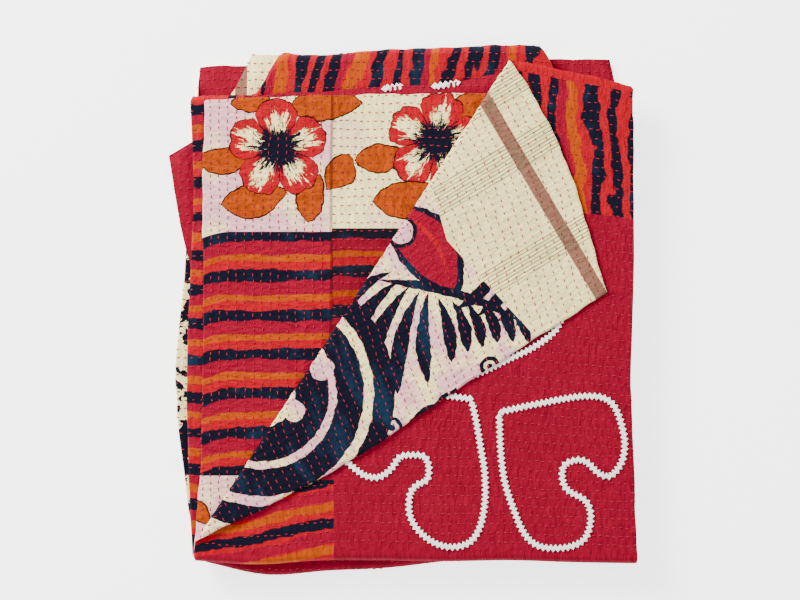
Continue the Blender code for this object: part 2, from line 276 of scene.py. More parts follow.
# Rings and discs in the order in which they are printed; a disc's radius is its half width
Ring = namedtuple("Ring", "x y radius half tone")
RINGS = (
    Ring(60, 168, 0, 133, "navy"),
    Ring(60, 168, 107, 5, "ground"),
    Ring(60, 168, 71, 4, "ground"),
    Ring(60, 168, 28, 5, "ground"),
    Ring(120, 194, 0, 12, "ground"),
    Ring(92, 152, 0, 11, "ground"),
    Ring(190, 134, 9, 2, "navy"),
    Ring(190, 134, 0, 3, "navy"),
    Ring(288, 196, 8, 2, "navy"),
    Ring(288, 196, 0, 3, "navy"),
)
BUD_EYE = (Ring(199, 331, 0, 16, "navy"), Ring(199, 331, 0, 12, "ground"))
# Hand-printed stripes: each row is a stripe's middle as a share of the period, and its half width
Stripes = namedtuple("Stripes", "period shift tilt sway seed base rows")
FIELD_STRIPES = Stripes(39.4, 0, 0, 7, 1, "crimson", (
    (0.50, 6.4, "scarlet"), (0.28, 5.7, "navy"), (0.72, 3.2, "orange"),
))
WIDE_ROWS = (
    (0.62, 5, "crimson"), (0, 6.2, "navy"), (0.25, 4.6, "navy"), (0.5, 6.3, "navy"),
    (0.75, 4.6, "orange"),
)
UPRIGHT_STRIPES = Stripes(78, 50, 0.06, 42, 4, "scarlet", WIDE_ROWS)
ROLL_STRIPES = Stripes(78, 38, -0.34, 44, 2, "scarlet", WIDE_ROWS)
LEVEL_STRIPES = Stripes(43, 0, -0.2, 16, 9, "scarlet", (
    (0.95, 6, "crimson"), (0.3, 5.6, "navy"), (0.68, 4.4, "orange"),
))
LOWER_STRIPES = Stripes(36, 0, 0, 14, 6, "crimson", (
    (0.52, 5, "scarlet"), (0.28, 5.4, "navy"), (0.74, 3.8, "orange"),
))
# The woven stripe of the plain cotton: distance from the corner's edge and half width; and the
# middles of the sets of fine lines that cross it, their spacing and half a set's width
BROWN_STRIPE = (40, 6.8)
LINE_SETS = (19, 83, 180)
LINE_SPACING = 3.4
HALF_SET = 14.5
# The direction of the turned-back corner's upper edge, and the two lines, each a slope and a start,
# between which its print and its plain cotton are joined
CORNER_EDGE = (0.512, -0.859)
PRINT_SEAM = ((-0.283, 336), (-0.92, 541))
# Soft edges of a print and of a hand-printed stripe, the line round a leaf, and a flower's petals
SOFT_EDGE = 0.25
SOFT_STRIPE = 0.3
OUTLINE = 1.6
PETALS = 5
# Clouds of uneven dye, about 50 mm across, and how detailed they are
DYE_CLOUDS = (0.02, 4)
# Patches of the face, the hem that slants along its top, and the striped field beside the corner
UPPER_PATCH = namedtuple("UpperPatch", "x foot curve")(307, 352, 0.0006)
LOWER_PATCH = namedtuple("LowerPatch", "side top")(132, 82.5)
TOP_HEM = namedtuple("TopHem", "foot slant")(493, 0.19)
FIELD = namedtuple("Field", "top foot")(331, 86)
# On the lower reverse: where the striped roll starts, half its width, and the brown stripe's middle
ROLL_START = 903
ROLL_HALF = 70
LOWER_BROWN = 911


def length(name, description, default, low, high):
    return FloatProperty(
        name=name, description=description, default=default, min=low, max=high, unit="LENGTH"
    )


class ThrowSizes(bpy.types.PropertyGroup):
    row_pitch: length("Row pitch", "From one row of stitches to the next", 0.0085, 0.004, 0.03)
    stitch_pitch: length("Stitch pitch", "From one stitch to the next", 0.0068, 0.004, 0.03)
    stitch_length: length("Stitch length", "Thread between two holes", 0.0038, 0.002, 0.02)
    thread: length("Thread", "Thickness of the sewing thread", 0.001, 0.0003, 0.002)
    pucker: length("Pucker", "Height of the cloth between two rows", 0.0006, 0, 0.001)
    braid_pitch: length("Braid pitch", "From one tooth to the next", 0.0048, 0.003, 0.02)
    braid_swing: length("Braid swing", "How far it swings to each side", 0.0014, 0.0005, 0.01)
    braid_width: length("Braid width", "Width of the braid's own band", 0.0052, 0.001, 0.01)
    seed: IntProperty(
        name="Seed", description="Start of the uneven spacing of hand stitches", default=7, min=0
    )


def colour(name, description, code):
    return FloatVectorProperty(
        name=name, description=description, default=linear(code),
        subtype="COLOR", size=4, min=0, max=1,
    )


class ThrowColours(bpy.types.PropertyGroup):
    crimson: colour("Crimson", "Plain cotton of the face", "#860022")
    scarlet: colour("Scarlet", "Brighter red stripes", "#A20016")
    orange: colour("Orange", "Stripes and leaves", "#A23E00")
    navy: colour("Navy", "Dark stripes, plumes and flower middles", "#08091B")
    faded: colour("Faded navy", "Navy where it has washed out", "#0C2439")
    cream: colour("Cream", "Unprinted cotton", "#FFEBA2")
    pink: colour("Pink", "Cotton stained by the red dye", "#E8A9B0")
    brown: colour("Brown", "Woven stripe on the cream cotton", "#805846")
    # The outline's dark tone is also used for painted shade on the right flower patch and for a
    # painted shadow in its seam
    outline: colour("Outline", "Printed line round leaves and petals", "#160D03")
    check: colour("Check", "Fine woven lines on the cream cotton", "#605C41")
    thread: colour("Thread", "Running stitches", "#A00020")
    braid: colour("Braid", "Zigzag braid", "#FFFDF4")
    floor: colour("Floor", "Surface that the throw lies on", "#F8F8F8")


# ---- how the sheet is folded


def read_table(place, stations, values):
    """A smooth curve through a table's values, read at an array of places."""
    stations = np.asarray(stations, float)
    values = np.asarray(values, float)
    slopes = np.gradient(values, stations)
    low = np.clip(np.searchsorted(stations, place) - 1, 0, len(stations) - 2)
    width = stations[low + 1] - stations[low]
    t = np.clip((place - stations[low]) / width, 0, 1)
    rise = values[low] * (1 + 2 * t) * (1 - t) ** 2 + values[low + 1] * t * t * (3 - 2 * t)
    return rise + width * (slopes[low] * t * (1 - t) ** 2 + slopes[low + 1] * t * t * (t - 1))


def between_rows(rows, number, stations, place):
    """A value read from the rows on either side of a number that may be a fraction."""
    values = np.array([read_table(place, stations, row) for row in rows])
    low = np.clip(np.floor(number).astype(int), 0, len(rows) - 1)
    high = np.minimum(low + 1, len(rows) - 1)
    pick = np.arange(len(place))
    return values[low, pick] + (values[high, pick] - values[low, pick]) * (number - low)


def back_and_forth(place, length, radius):
    """Where places are on a path of runs joined by half turns, and the number of the run."""
    period = length + math.pi * radius
    number = np.floor(place / period)
    rest = place - number * period
    side = np.where(number % 2 == 1, -1.0, 1.0)
    angle = np.maximum(0, rest - length) / radius
    flat = np.minimum(rest, length)
    along = np.where(side > 0, flat, length - flat) + side * radius * np.sin(angle)
    down = 2 * radius * number + radius * (1 - np.cos(angle))
    return along, down, np.sin(angle), side * np.cos(angle), number + angle / math.pi


def smooth_step(value):
    value = np.clip(value, 0, 1)
    return value * value * (3 - 2 * value)


def jut_reach(jut, place):
    """How far a jut reaches at places along its edge, in millimetres."""
    share = (place - jut.start) / (jut.end - jut.start)
    reach = jut.reach_start + (jut.reach_end - jut.reach_start) * share
    inside = np.minimum(place - jut.start, jut.end - place) / jut.ramp
    return reach * smooth_step(inside)


def fold(across, along):
    """Where points of the flat sheet lie in the even pile, and in which third and quarter."""
    run, sunk, _, _, third = back_and_forth(across, RUN_WIDTH, SIDE_RADIUS)
    x = run + (FOLDED_WIDTH - RUN_WIDTH) / 2
    height = PITCH - sunk
    back, down, normal_back, normal_up, quarter = back_and_forth(along, RUN_LENGTH, END_RADIUS)
    y = (FOLDED_LENGTH + RUN_LENGTH) / 2 - back - height * normal_back
    z = CLOTH / 2 + (TOP_LAYER - 1) * PITCH - down + height * normal_up
    return x, y, z, third, quarter


def ragged(place, third, quarter):
    """A small waviness of each layer's own, in millimetres."""
    phase = LAYER_SHIFTS[0] * np.round(third) + LAYER_SHIFTS[1] * np.round(quarter)
    return sum(reach * np.sin(place * rate + share * phase) for reach, rate, share in EDGE_WAVES)


def uneven(x, y, z, third, quarter):
    """The same points once each layer's edges reach as far as they do on the real pile."""
    across = np.clip(x / FOLDED_WIDTH, 0, 1)
    along = np.clip(y / FOLDED_LENGTH, 0, 1)
    loose_left, fold_left, fold_right, loose_right = (
        between_rows(rows, quarter, SIDE_STATIONS, y) for rows in zip(*SIDES)
    )
    jutting = (third < 0.5) & (quarter == JUTTING_QUARTER)
    loose_left += jutting * jut_reach(LEFT_JUT, y) * np.maximum(0, 1 - x / JUT_DEPTH)
    waves = ragged(y, third, quarter)
    left = np.where(third < 0.5, loose_left, fold_left) * (1 - across) + waves * (1 - across) ** 4
    right = np.where(third < 1.5, fold_right, loose_right) * across + waves * across ** 4
    turn = between_rows([TOP_TURN] * THIRDS, third, END_STATIONS, x)
    reach = np.where(quarter < 0.5, between_rows(TOP_ENDS, third, END_STATIONS, x), turn)
    reach = np.where(quarter > 2.5, between_rows(LAST_ENDS, third, END_STATIONS, x), reach)
    jut = np.zeros(len(x))
    at_turns = (quarter > 0.5) & (quarter < 2.5)
    for juts, chosen in ((TOP_TURN_JUTS, at_turns), (LAST_END_JUTS, quarter > 2.5)):
        for row in juts:
            jut += chosen * np.maximum(0, 1 - abs(third - row.third)) * jut_reach(row, x)
    top = reach * along + jut * np.maximum(0, 1 - (FOLDED_LENGTH - y) / JUT_DEPTH)
    top += ragged(x, third, quarter + 5) * along ** 4
    upper = read_table(x, END_STATIONS, UPPER_BOTTOM_TURN)
    lower = read_table(x, END_STATIONS, LOWER_BOTTOM_TURN)
    bottom = np.where(quarter < 1.5, upper, lower) * (1 - along)
    return x + (right - left) / 1000, y + (top - bottom) / 1000, z


def fullness(x, y):
    """How much the pile's height is multiplied by at places seen from above."""
    sides, ends = (
        np.minimum(1, sum(np.exp(-((far / FULLNESS_WIDTH) ** 2)) for far in (place, size - place)))
        for place, size in ((x, FOLDED_WIDTH), (y, FOLDED_LENGTH))
    )
    wave = np.sin(math.tau * x / WAVE_LENGTHS[0] + 1) * np.sin(math.tau * y / WAVE_LENGTHS[1] + 0.5)
    return 1 + END_FULLNESS * ends + SIDE_FULLNESS * sides + WAVE_HEIGHT * wave


CREASE_ALONG = (CREASE_FOOT - CREASE_TOP).normalized()
CREASE_ACROSS = Vector((CREASE_ALONG.y, -CREASE_ALONG.x))
CREASE_START = CREASE_TOP - CREASE_ACROSS * CREASE_RADIUS
TOP_HEIGHT = CLOTH / 2 + TOP_LAYER * PITCH


def past_crease(x, y):
    return (x - CREASE_START.x) * CREASE_ACROSS.x + (y - CREASE_START.y) * CREASE_ACROSS.y


def turn_back(x, y, z):
    """Rolls what lies past the crease over a half turn and lays it on the pile."""
    past = past_crease(x, y)
    turned = (z > TOP_HEIGHT - 1e-6) & (past > 0)
    angle = np.clip(past / CREASE_RADIUS, 0, math.pi)
    laid = np.maximum(0, past - math.pi * CREASE_RADIUS)
    shift = CREASE_RADIUS * np.sin(angle) - laid - past
    sink = CORNER_SINK * smooth_step(laid / SINK_LENGTH)
    rise = CREASE_RADIUS * (1 - np.cos(angle)) - sink
    x = np.where(turned, x + CREASE_ACROSS.x * shift, x)
    y = np.where(turned, y + CREASE_ACROSS.y * shift, y)
    return x, y, np.where(turned, z + rise, z), turned


def mirrored(x, y):
    """Flat places past the crease as they lie once the corner is turned back."""
    shift = math.pi * CREASE_RADIUS - 2 * past_crease(x, y)
    return x + CREASE_ACROSS.x * shift, y + CREASE_ACROSS.y * shift


# ---- the cloth


def path_places(runs, radius, steps, length):
    """Places along a back-and-forth path: even stations of each run, and those of each turn."""
    places = []
    start = 0
    for number, cells in enumerate(runs):
        places += [start + length * i / cells for i in range(cells + 1)]
        if number < len(runs) - 1:
            places += [start + length + math.pi * radius * i / steps for i in range(1, steps)]
        start += length + math.pi * radius
    return places


def under_corner(x, y, margin):
    """True for places that the turned-back corner covers, by more than a margin."""
    corners = (CREASE_TOP, CORNER_TIP, CREASE_FOOT)
    inside = np.ones(len(x), bool)
    for start, end in zip(corners, (*corners[1:], corners[0])):
        direction = (end - start).normalized()
        inside &= (x - start.x) * direction.y - (y - start.y) * direction.x < -margin
    return inside


def seen(across, along, margin):
    """True where a part of the flat sheet is seen from above in the folded pile."""
    x, y, z, third, quarter = fold(across, along)
    x, y, z = uneven(x, y, z, third, quarter)
    past = past_crease(x, y)
    top = (quarter < 0.25) & (third < 0.25) & ((past > -margin) | ~under_corner(x, y, margin))
    second = (quarter < 0.25) & (third > 0.75) & (third < 1.25) & (past > -margin)
    roll = (quarter > 1) & (quarter < 1.8) & (third > 1.7) & (y > FOLDED_LENGTH - margin)
    return top | second | roll


def flat_sheet():
    """The flat sheet as a grid, cut finer where it is seen from above."""
    widths = path_places(COARSE_ACROSS, SIDE_RADIUS, SIDE_FOLD_STEPS, RUN_WIDTH)
    lengths = path_places(COARSE_ALONG, END_RADIUS, END_FOLD_STEPS, RUN_LENGTH)
    columns, rows = len(widths) - 1, len(lengths) - 1
    sheet = bmesh.new()
    bmesh.ops.create_grid(sheet, x_segments=columns, y_segments=rows, size=1)
    for vert in sheet.verts:
        column = round((vert.co.x + 1) / 2 * columns)
        row = round((vert.co.y + 1) / 2 * rows)
        vert.co = (widths[column], lengths[row], 0)
    centres = np.array([face.calc_center_median()[:2] for face in sheet.faces]).T
    chosen = seen(centres[0], centres[1], SEEN_MARGIN)
    edges = {edge for face, pick in zip(sheet.faces, chosen) if pick for edge in face.edges}
    bmesh.ops.subdivide_edges(sheet, edges=list(edges), cuts=FINE_CUTS, use_grid_fill=True)
    bmesh.ops.reverse_faces(sheet, faces=sheet.faces)
    for face in sheet.faces:
        across, along, _ = face.calc_center_median()
        first_quarter = along < RUN_LENGTH + math.pi * END_RADIUS / 2
        third = (across + math.pi * SIDE_RADIUS / 2) / (RUN_WIDTH + math.pi * SIDE_RADIUS)
        face.material_index = min(int(third), 2) if first_quarter else 2
    return sheet


def lay_in_pile(sheet):
    """Folds the sheet and turns its corner back, keeping each point's place on the flat sheet."""
    keep = {name: sheet.verts.layers.float.new(name) for name in PLACES}
    across, along, _ = np.array([vert.co[:] for vert in sheet.verts]).T
    x, y, z = uneven(*fold(across, along))
    for vert, s, t, place in zip(sheet.verts, across, along, zip(x, y, z)):
        vert[keep["across"]], vert[keep["along"]] = s, t
        vert.co = place
    for step in range(CORNER_FOLD_STEPS + 1):
        offset = math.pi * CREASE_RADIUS * step / CORNER_FOLD_STEPS
        top = {vert for vert in sheet.verts if vert.co.z > TOP_HEIGHT - 1e-6}
        faces = [face for face in sheet.faces if top.issuperset(face.verts)]
        edges = {edge for face in faces for edge in face.edges}
        bmesh.ops.bisect_plane(
            sheet,
            geom=faces + list(edges) + list(top),
            dist=1e-5,
            plane_co=(*(CREASE_START + CREASE_ACROSS * offset), 0),
            plane_no=Vector((*CREASE_ACROSS, 0)),
        )
    x, y, z = np.array([vert.co[:] for vert in sheet.verts]).T
    turned_x, turned_y, z, turned = turn_back(x, y, z)
    z = CLOTH / 2 + (z - CLOTH / 2) * fullness(turned_x, turned_y)
    for i, vert in enumerate(sheet.verts):
        vert[keep["laid_x"]], vert[keep["laid_y"]], vert[keep["turned"]] = x[i], y[i], turned[i]
        vert.co = (turned_x[i] - PILE_CENTRE[0], turned_y[i] - PILE_CENTRE[1], z[i])


def read_places(mesh):
    """Where each vertex was on the flat sheet and in the pile, as arrays by name."""
    values = {name: np.empty(len(mesh.vertices)) for name in PLACES}
    for name, array in values.items():
        mesh.attributes[name].data.foreach_get("value", array)
    return values


def wander(run, row):
    """How far a row of hand stitches strays from its even line."""
    return ROW_WANDER * noise.noise((run * 28, row * 12, 3))


def crinkle(places, sizes):
    """Height of the cloth's puckers: low along each row of stitches, and drawn up between them."""
    shown = seen(places["across"], places["along"], SEEN_MARGIN / 2)
    heights = np.zeros(len(shown))
    for i in np.flatnonzero(shown):
        s, t, x, y = (places[name][i] for name in PLACES[:4])
        run, row = s, t
        if s > RUN_WIDTH + SIDE_RADIUS:
            run, row = (y, x) if x < PATCH_SEAM else (x, y)
        swell = 0.5 - 0.5 * math.cos(math.tau * (row + wander(run, row)) / sizes.row_pitch)
        gather = noise.noise((run * 210, row * 62, 11)) + 0.6 * noise.noise((run * 95, row * 70, 4))
        broad = noise.noise((x * 22, y * 22, 21))
        rise = SWELL_SHARE * swell + GATHER_SHARE * gather + BROAD_SHARE * broad - SUNK_SHARE
        heights[i] = sizes.pucker * rise
    return heights


def new_object(name, mesh):
    made = bpy.data.objects.new(name, mesh)
    bpy.context.collection.objects.link(made)
    return made


def plain_copy(obj, name):
    """The object with its modifiers made real, as a new object; the old one is removed."""
    bpy.context.view_layer.update()
    graph = bpy.context.evaluated_depsgraph_get()
    mesh = bpy.data.meshes.new_from_object(obj.evaluated_get(graph), depsgraph=graph)
    bpy.data.objects.remove(obj)
    mesh.name = name
    return new_object(name, mesh)


# Material slots of the cloth: three for the face's thirds, three for the reverse's, and the hem
FACE, _, LOWER_FACE, CORNER_REVERSE, SECOND_REVERSE, LOWER_REVERSE, HEM = range(7)


def lay_prints(mesh):
    """UV maps of where each print lies, and of places along and across the rows of stitches."""
    values = read_places(mesh)
    loops = np.empty(len(mesh.loops), int)
    mesh.loops.foreach_get("vertex_index", loops)
    counts = np.empty(len(mesh.polygons), int)
    mesh.polygons.foreach_get("loop_total", counts)
    kinds = np.empty(len(mesh.polygons), int)
    mesh.polygons.foreach_get("material_index", kinds)
    kind = np.repeat(kinds, counts)
    across, along, x, y = (values[name][loops] for name in PLACES[:4])
    turned_x, turned_y = mirrored(x, y)
    sheet = np.isin(kind, (LOWER_FACE, LOWER_REVERSE, HEM))
    corner = kind == CORNER_REVERSE
    second = kind == SECOND_REVERSE
    upright = second & (x < PATCH_SEAM)
    maps = {
        "print": (
            np.where(sheet, across, np.where(corner, turned_x, x)),
            np.where(sheet, along, np.where(corner, turned_y, y)),
        ),
        "rows": (
            np.where(upright, y, np.where(second, x, across)),
            np.where(upright, x, np.where(second, y, along)),
        ),
    }
    for name, (u, v) in maps.items():
        mesh.uv_layers.new(name=name).data.foreach_set("uv", np.column_stack([u, v]).ravel())


class THROW_OT_cloth(bpy.types.Operator):
    """Folds the quilted sheet and turns its corner back"""

    bl_idname = "throw.cloth"
    bl_label = "Make the cloth"

    def execute(self, context):
        sheet = flat_sheet()
        lay_in_pile(sheet)
        mesh = bpy.data.meshes.new("throw_cloth")
        sheet.to_mesh(mesh)
        sheet.free()
        rise = crinkle(read_places(mesh), context.scene.throw_sizes)
        points = np.empty(len(mesh.vertices) * 3)
        normals = np.empty(len(mesh.vertices) * 3)
        mesh.vertices.foreach_get("co", points)
        mesh.vertices.foreach_get("normal", normals)
        mesh.vertices.foreach_set("co", points + normals * np.repeat(rise, 3))
        mesh.update()
        tones = context.scene.throw_colours
        kit = print_groups()
        lower_face = lower_face_cotton(tones)
        for made in (
            face_cotton(tones, kit), lower_face, lower_face,
            corner_cotton(tones, kit), flower_cotton(tones, kit), lower_cotton(tones, kit),
            hem_cotton(tones),
        ):
            mesh.materials.append(made)
        plain = new_object("throw_plain", mesh)
        solid = plain.modifiers.new("thickness", "SOLIDIFY")
        solid.thickness = CLOTH
        solid.offset = 0
        solid.material_offset = CORNER_REVERSE
        solid.material_offset_rim = HEM
        throw = plain_copy(plain, "throw_cloth")
        lay_prints(throw.data)
        throw.data.shade_smooth()
        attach(throw, "root")
        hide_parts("throw")
        return {"FINISHED"}


# ---- what is sewn on


def new_tree(name, inputs):
    """An empty geometry tree with its named inputs, and its input and output sockets."""
    tree = bpy.data.node_groups.new(name, "GeometryNodeTree")
    tree.is_modifier = True
    for label, kind in (("Path", "Geometry"), *inputs):
        tree.interface.new_socket(label, in_out="INPUT", socket_type="NodeSocket" + kind)
    tree.interface.new_socket("Geometry", in_out="OUTPUT", socket_type="NodeSocketGeometry")
    return tree, tree.nodes.new("NodeGroupInput").outputs, tree.nodes.new("NodeGroupOutput").inputs


def sewn(name, runs, tree, values):
    """A mesh made from chains of points and a tree, whose inputs are set by their identifiers."""
    mesh = bpy.data.meshes.new(name + "_path")
    points, edges = [], []
    for run in runs:
        edges += [(len(points) + i, len(points) + i + 1) for i in range(len(run) - 1)]
        points += run
    mesh.from_pydata(points, edges, [])
    path = new_object(name + "_path", mesh)
    modifier = path.modifiers.new("sewing", "NODES")
    modifier.node_group = tree
    for item in tree.interface.items_tree:
        if item.in_out == "INPUT" and item.name in values:
            modifier[item.identifier] = values[item.name]
    made = plain_copy(path, name)
    if not made.data.polygons:
        raise RuntimeError(f"{name} has no faces")
    made.data.shade_smooth()
    return made


def stitch_mesh(sizes):
    """One stitch: a short thread that dips into the cloth at both ends."""
    mesh = bpy.data.meshes.new("stitch")
    sheet = bmesh.new()
    radius, half = sizes.thread / 2, sizes.stitch_length / 2
    angles = [math.tau * side / STITCH_SIDES for side in range(STITCH_SIDES)]
    rings = []
    for share, thick, lift in STITCH_RINGS:
        places = [(thick * math.cos(angle), lift + thick * math.sin(angle)) for angle in angles]
        rings.append([sheet.verts.new((share * half, radius * y, radius * z)) for y, z in places])
    for first, second in zip(rings, rings[1:]):
        for side in range(STITCH_SIDES):
            after = (side + 1) % STITCH_SIDES
            sheet.faces.new((first[side], first[after], second[after], second[side]))
    sheet.faces.new(rings[0])
    sheet.faces.new(reversed(rings[-1]))
    bmesh.ops.recalc_face_normals(sheet, faces=sheet.faces)
    sheet.to_mesh(mesh)
    sheet.free()
    return mesh


def stitching_tree():
    """Threads at an uneven spacing along rows, dropped onto the cloth and turned to follow it."""
    tree, given, result = new_tree("Running stitch", (
        ("Cloth", "Object"), ("Stitch", "Object"), ("Pitch", "Float"), ("Ray", "Vector"),
        ("Lift", "Float"), ("Seed", "Int"), ("Material", "Material"),
    ))
    rows, cloth, stitch, pitch, ray, lift, seed, thread = given[:8]
    curves = add(tree, "GeometryNodeMeshToCurve", rows)
    points = add(tree, "GeometryNodeCurveToPoints", curves, pitch, mode="LENGTH")
    target = add(tree, "GeometryNodeObjectInfo", cloth, transform_space="RELATIVE")
    target = target.outputs["Geometry"]
    away = add(tree, "FunctionNodeRandomValue", (-1, -1, 0), (1, 1, 0), data_type="FLOAT_VECTOR")
    tree.links.new(seed, away.inputs["Seed"])
    shift = add(tree, VECTOR_MATH, away, STITCH_SCATTER, operation="SCALE")
    where = add(tree, "GeometryNodeInputPosition")
    where = add(tree, VECTOR_MATH, where, shift, operation="ADD")
    hit = add(tree, "GeometryNodeRaycast", target)
    hit.inputs["Ray Length"].default_value = 1
    tree.links.new(where.outputs[0], hit.inputs["Source Position"])
    tree.links.new(ray, hit.inputs["Ray Direction"])
    raised = add(tree, VECTOR_MATH, hit.outputs["Hit Normal"], lift, operation="SCALE")
    raised = add(tree, VECTOR_MATH, raised, hit.outputs["Hit Position"], operation="ADD")
    kept = tree.nodes.new("GeometryNodeCaptureAttribute")
    kept.capture_items.new("VECTOR", "normal")
    tree.links.new(points.outputs[0], kept.inputs[0])
    tree.links.new(hit.outputs["Hit Normal"], kept.inputs[1])
    placed = add(tree, "GeometryNodeSetPosition", kept.outputs[0], None, raised)
    tangent = points.outputs["Tangent"]
    askew = (STITCH_TURN, STITCH_TURN, 0)
    askew = add(tree, VECTOR_MATH, away, askew, tangent, operation="MULTIPLY_ADD")
    axes = {"primary_axis": "Z", "secondary_axis": "X"}
    turn = add(tree, "FunctionNodeAxesToRotation", kept.outputs[1], askew, **axes)
    share = add(tree, "FunctionNodeRandomValue", *STITCH_SHARES, data_type="FLOAT")
    tree.links.new(seed, share.inputs["Seed"])
    size = add(tree, "ShaderNodeCombineXYZ", share, 1, 1)
    shape = add(tree, "GeometryNodeObjectInfo", stitch, transform_space="ORIGINAL")
    threads = add(tree, "GeometryNodeInstanceOnPoints", placed, None, shape.outputs["Geometry"])
    tree.links.new(turn.outputs[0], threads.inputs["Rotation"])
    tree.links.new(size.outputs[0], threads.inputs["Scale"])
    real = add(tree, "GeometryNodeRealizeInstances", threads)
    done = add(tree, "GeometryNodeSetMaterial", real, None, thread)
    tree.links.new(done.outputs[0], result[0])
    return tree


def braid_tree():
    """A flat band that zigzags along a path and lies on the cloth, under the turned-back corner."""
    tree, given, result = new_tree("Zigzag braid", (
        ("Cloth", "Object"), ("Pitch", "Float"), ("Swing", "Float"), ("Width", "Float"),
        ("Thickness", "Float"), ("Material", "Material"),
    ))
    path, cloth, pitch, swing, width, thickness, yarn = given[:7]
    curve = add(tree, "GeometryNodeMeshToCurve", path)
    curve = add(tree, "GeometryNodeCurveSplineType", curve, spline_type="CATMULL_ROM")
    half = add(tree, MATH, pitch, 0.5, operation="MULTIPLY")
    curve = add(tree, "GeometryNodeResampleCurve", curve, None, half, mode="LENGTH")
    tangent = add(tree, "GeometryNodeInputTangent")
    side = add(tree, VECTOR_MATH, tangent, (0, 0, 1), operation="CROSS_PRODUCT")
    number = add(tree, "GeometryNodeInputIndex")
    odd = add(tree, MATH, number, 2, operation="MODULO")
    odd = add(tree, MATH, odd, 2, -1, operation="MULTIPLY_ADD")
    far = add(tree, MATH, odd, swing, operation="MULTIPLY")
    offset = add(tree, VECTOR_MATH, side, far, operation="SCALE")
    curve = add(tree, "GeometryNodeSetPosition", curve, None, None, offset)
    target = add(tree, "GeometryNodeObjectInfo", cloth, transform_space="RELATIVE")
    turned = add(tree, "GeometryNodeInputNamedAttribute", "turned", data_type="FLOAT")
    turned = add(
        tree, "FunctionNodeCompare", turned, 0.5, data_type="FLOAT", operation="GREATER_THAN"
    )
    target = add(tree, "GeometryNodeDeleteGeometry", target.outputs["Geometry"], turned)
    hit = add(tree, "GeometryNodeRaycast", target)
    hit.inputs["Ray Length"].default_value = 1
    raised = add(tree, "ShaderNodeCombineXYZ", 0, 0, thickness)
    raised = add(tree, VECTOR_MATH, hit.outputs["Hit Position"], raised, operation="ADD")
    curve = add(tree, "GeometryNodeSetPosition", curve, None, raised)
    curve = add(tree, "GeometryNodeSetCurveNormal", curve, mode="Z_UP")
    band = add(tree, "GeometryNodeCurvePrimitiveQuadrilateral", width, thickness)
    band = add(tree, "GeometryNodeFilletCurve", band, 2, BRAID_ROUNDING, mode="POLY")
    braid = add(tree, "GeometryNodeCurveToMesh", curve, band)
    braid.inputs["Fill Caps"].default_value = True
    real = add(tree, "GeometryNodeRealizeInstances", braid)
    done = add(tree, "GeometryNodeSetMaterial", real, None, yarn)
    tree.links.new(done.outputs[0], result[0])
    return tree


# Where rays start from and which way they go, to sew on the top and on the underside
OVER = (0.1, (0, 0, -1))
UNDER = (-0.05, (0, 0, 1))
# How far a thread's axis is above its cloth, as a share of its thickness: the weight of the pile
# presses the threads under it into the cloth
TOP_LIFT = 0.1
UNDERSIDE_LIFT = -0.5


def clipped(cloth, surface, kinds, x, y, start):
    """Chains of a row's points, kept where a ray first meets the given kinds of cloth."""
    height, ray = start
    chains, chain = [], []
    for place in zip(x - PILE_CENTRE[0], y - PILE_CENTRE[1]):
        number = surface.ray_cast((*place, height), ray)[2]
        if number is not None and cloth.data.polygons[number].material_index in kinds:
            chain.append((*place, height))
            continue
        chains.append(chain)
        chain = []
    return [found for found in (*chains, chain) if len(found) >= FEWEST_POINTS]


def face_rows(pitch):
    """Rows across the face and the turned-back corner: the kinds of cloth, x and y of each."""
    across = np.linspace(0, RUN_WIDTH, ROW_POINTS)
    for number in range(1, int(RUN_LENGTH / pitch)):
        along = np.array([number * pitch - wander(s, number * pitch) for s in across])
        x, y, _ = uneven(*fold(across, along))
        turned_x, turned_y, _, turned = turn_back(x, y, np.full(len(x), TOP_HEIGHT))
        yield (FACE,), x[~turned], y[~turned]
        yield (CORNER_REVERSE,), turned_x[turned], turned_y[turned]


def straight_rows(kinds, pitch, left, right, low, high, upright=False):
    """Rows that run level, or upright, over a part of the pile seen from above or below."""
    first, last, start, end = (left, right, low, high) if upright else (low, high, left, right)
    run = np.linspace(start, end, ROW_POINTS)
    for number in range(math.ceil(first / pitch), int(last / pitch) + 1):
        row = np.array([number * pitch - wander(place, number * pitch) for place in run])
        x, y = (row, run) if upright else (run, row)
        yield kinds, x, y


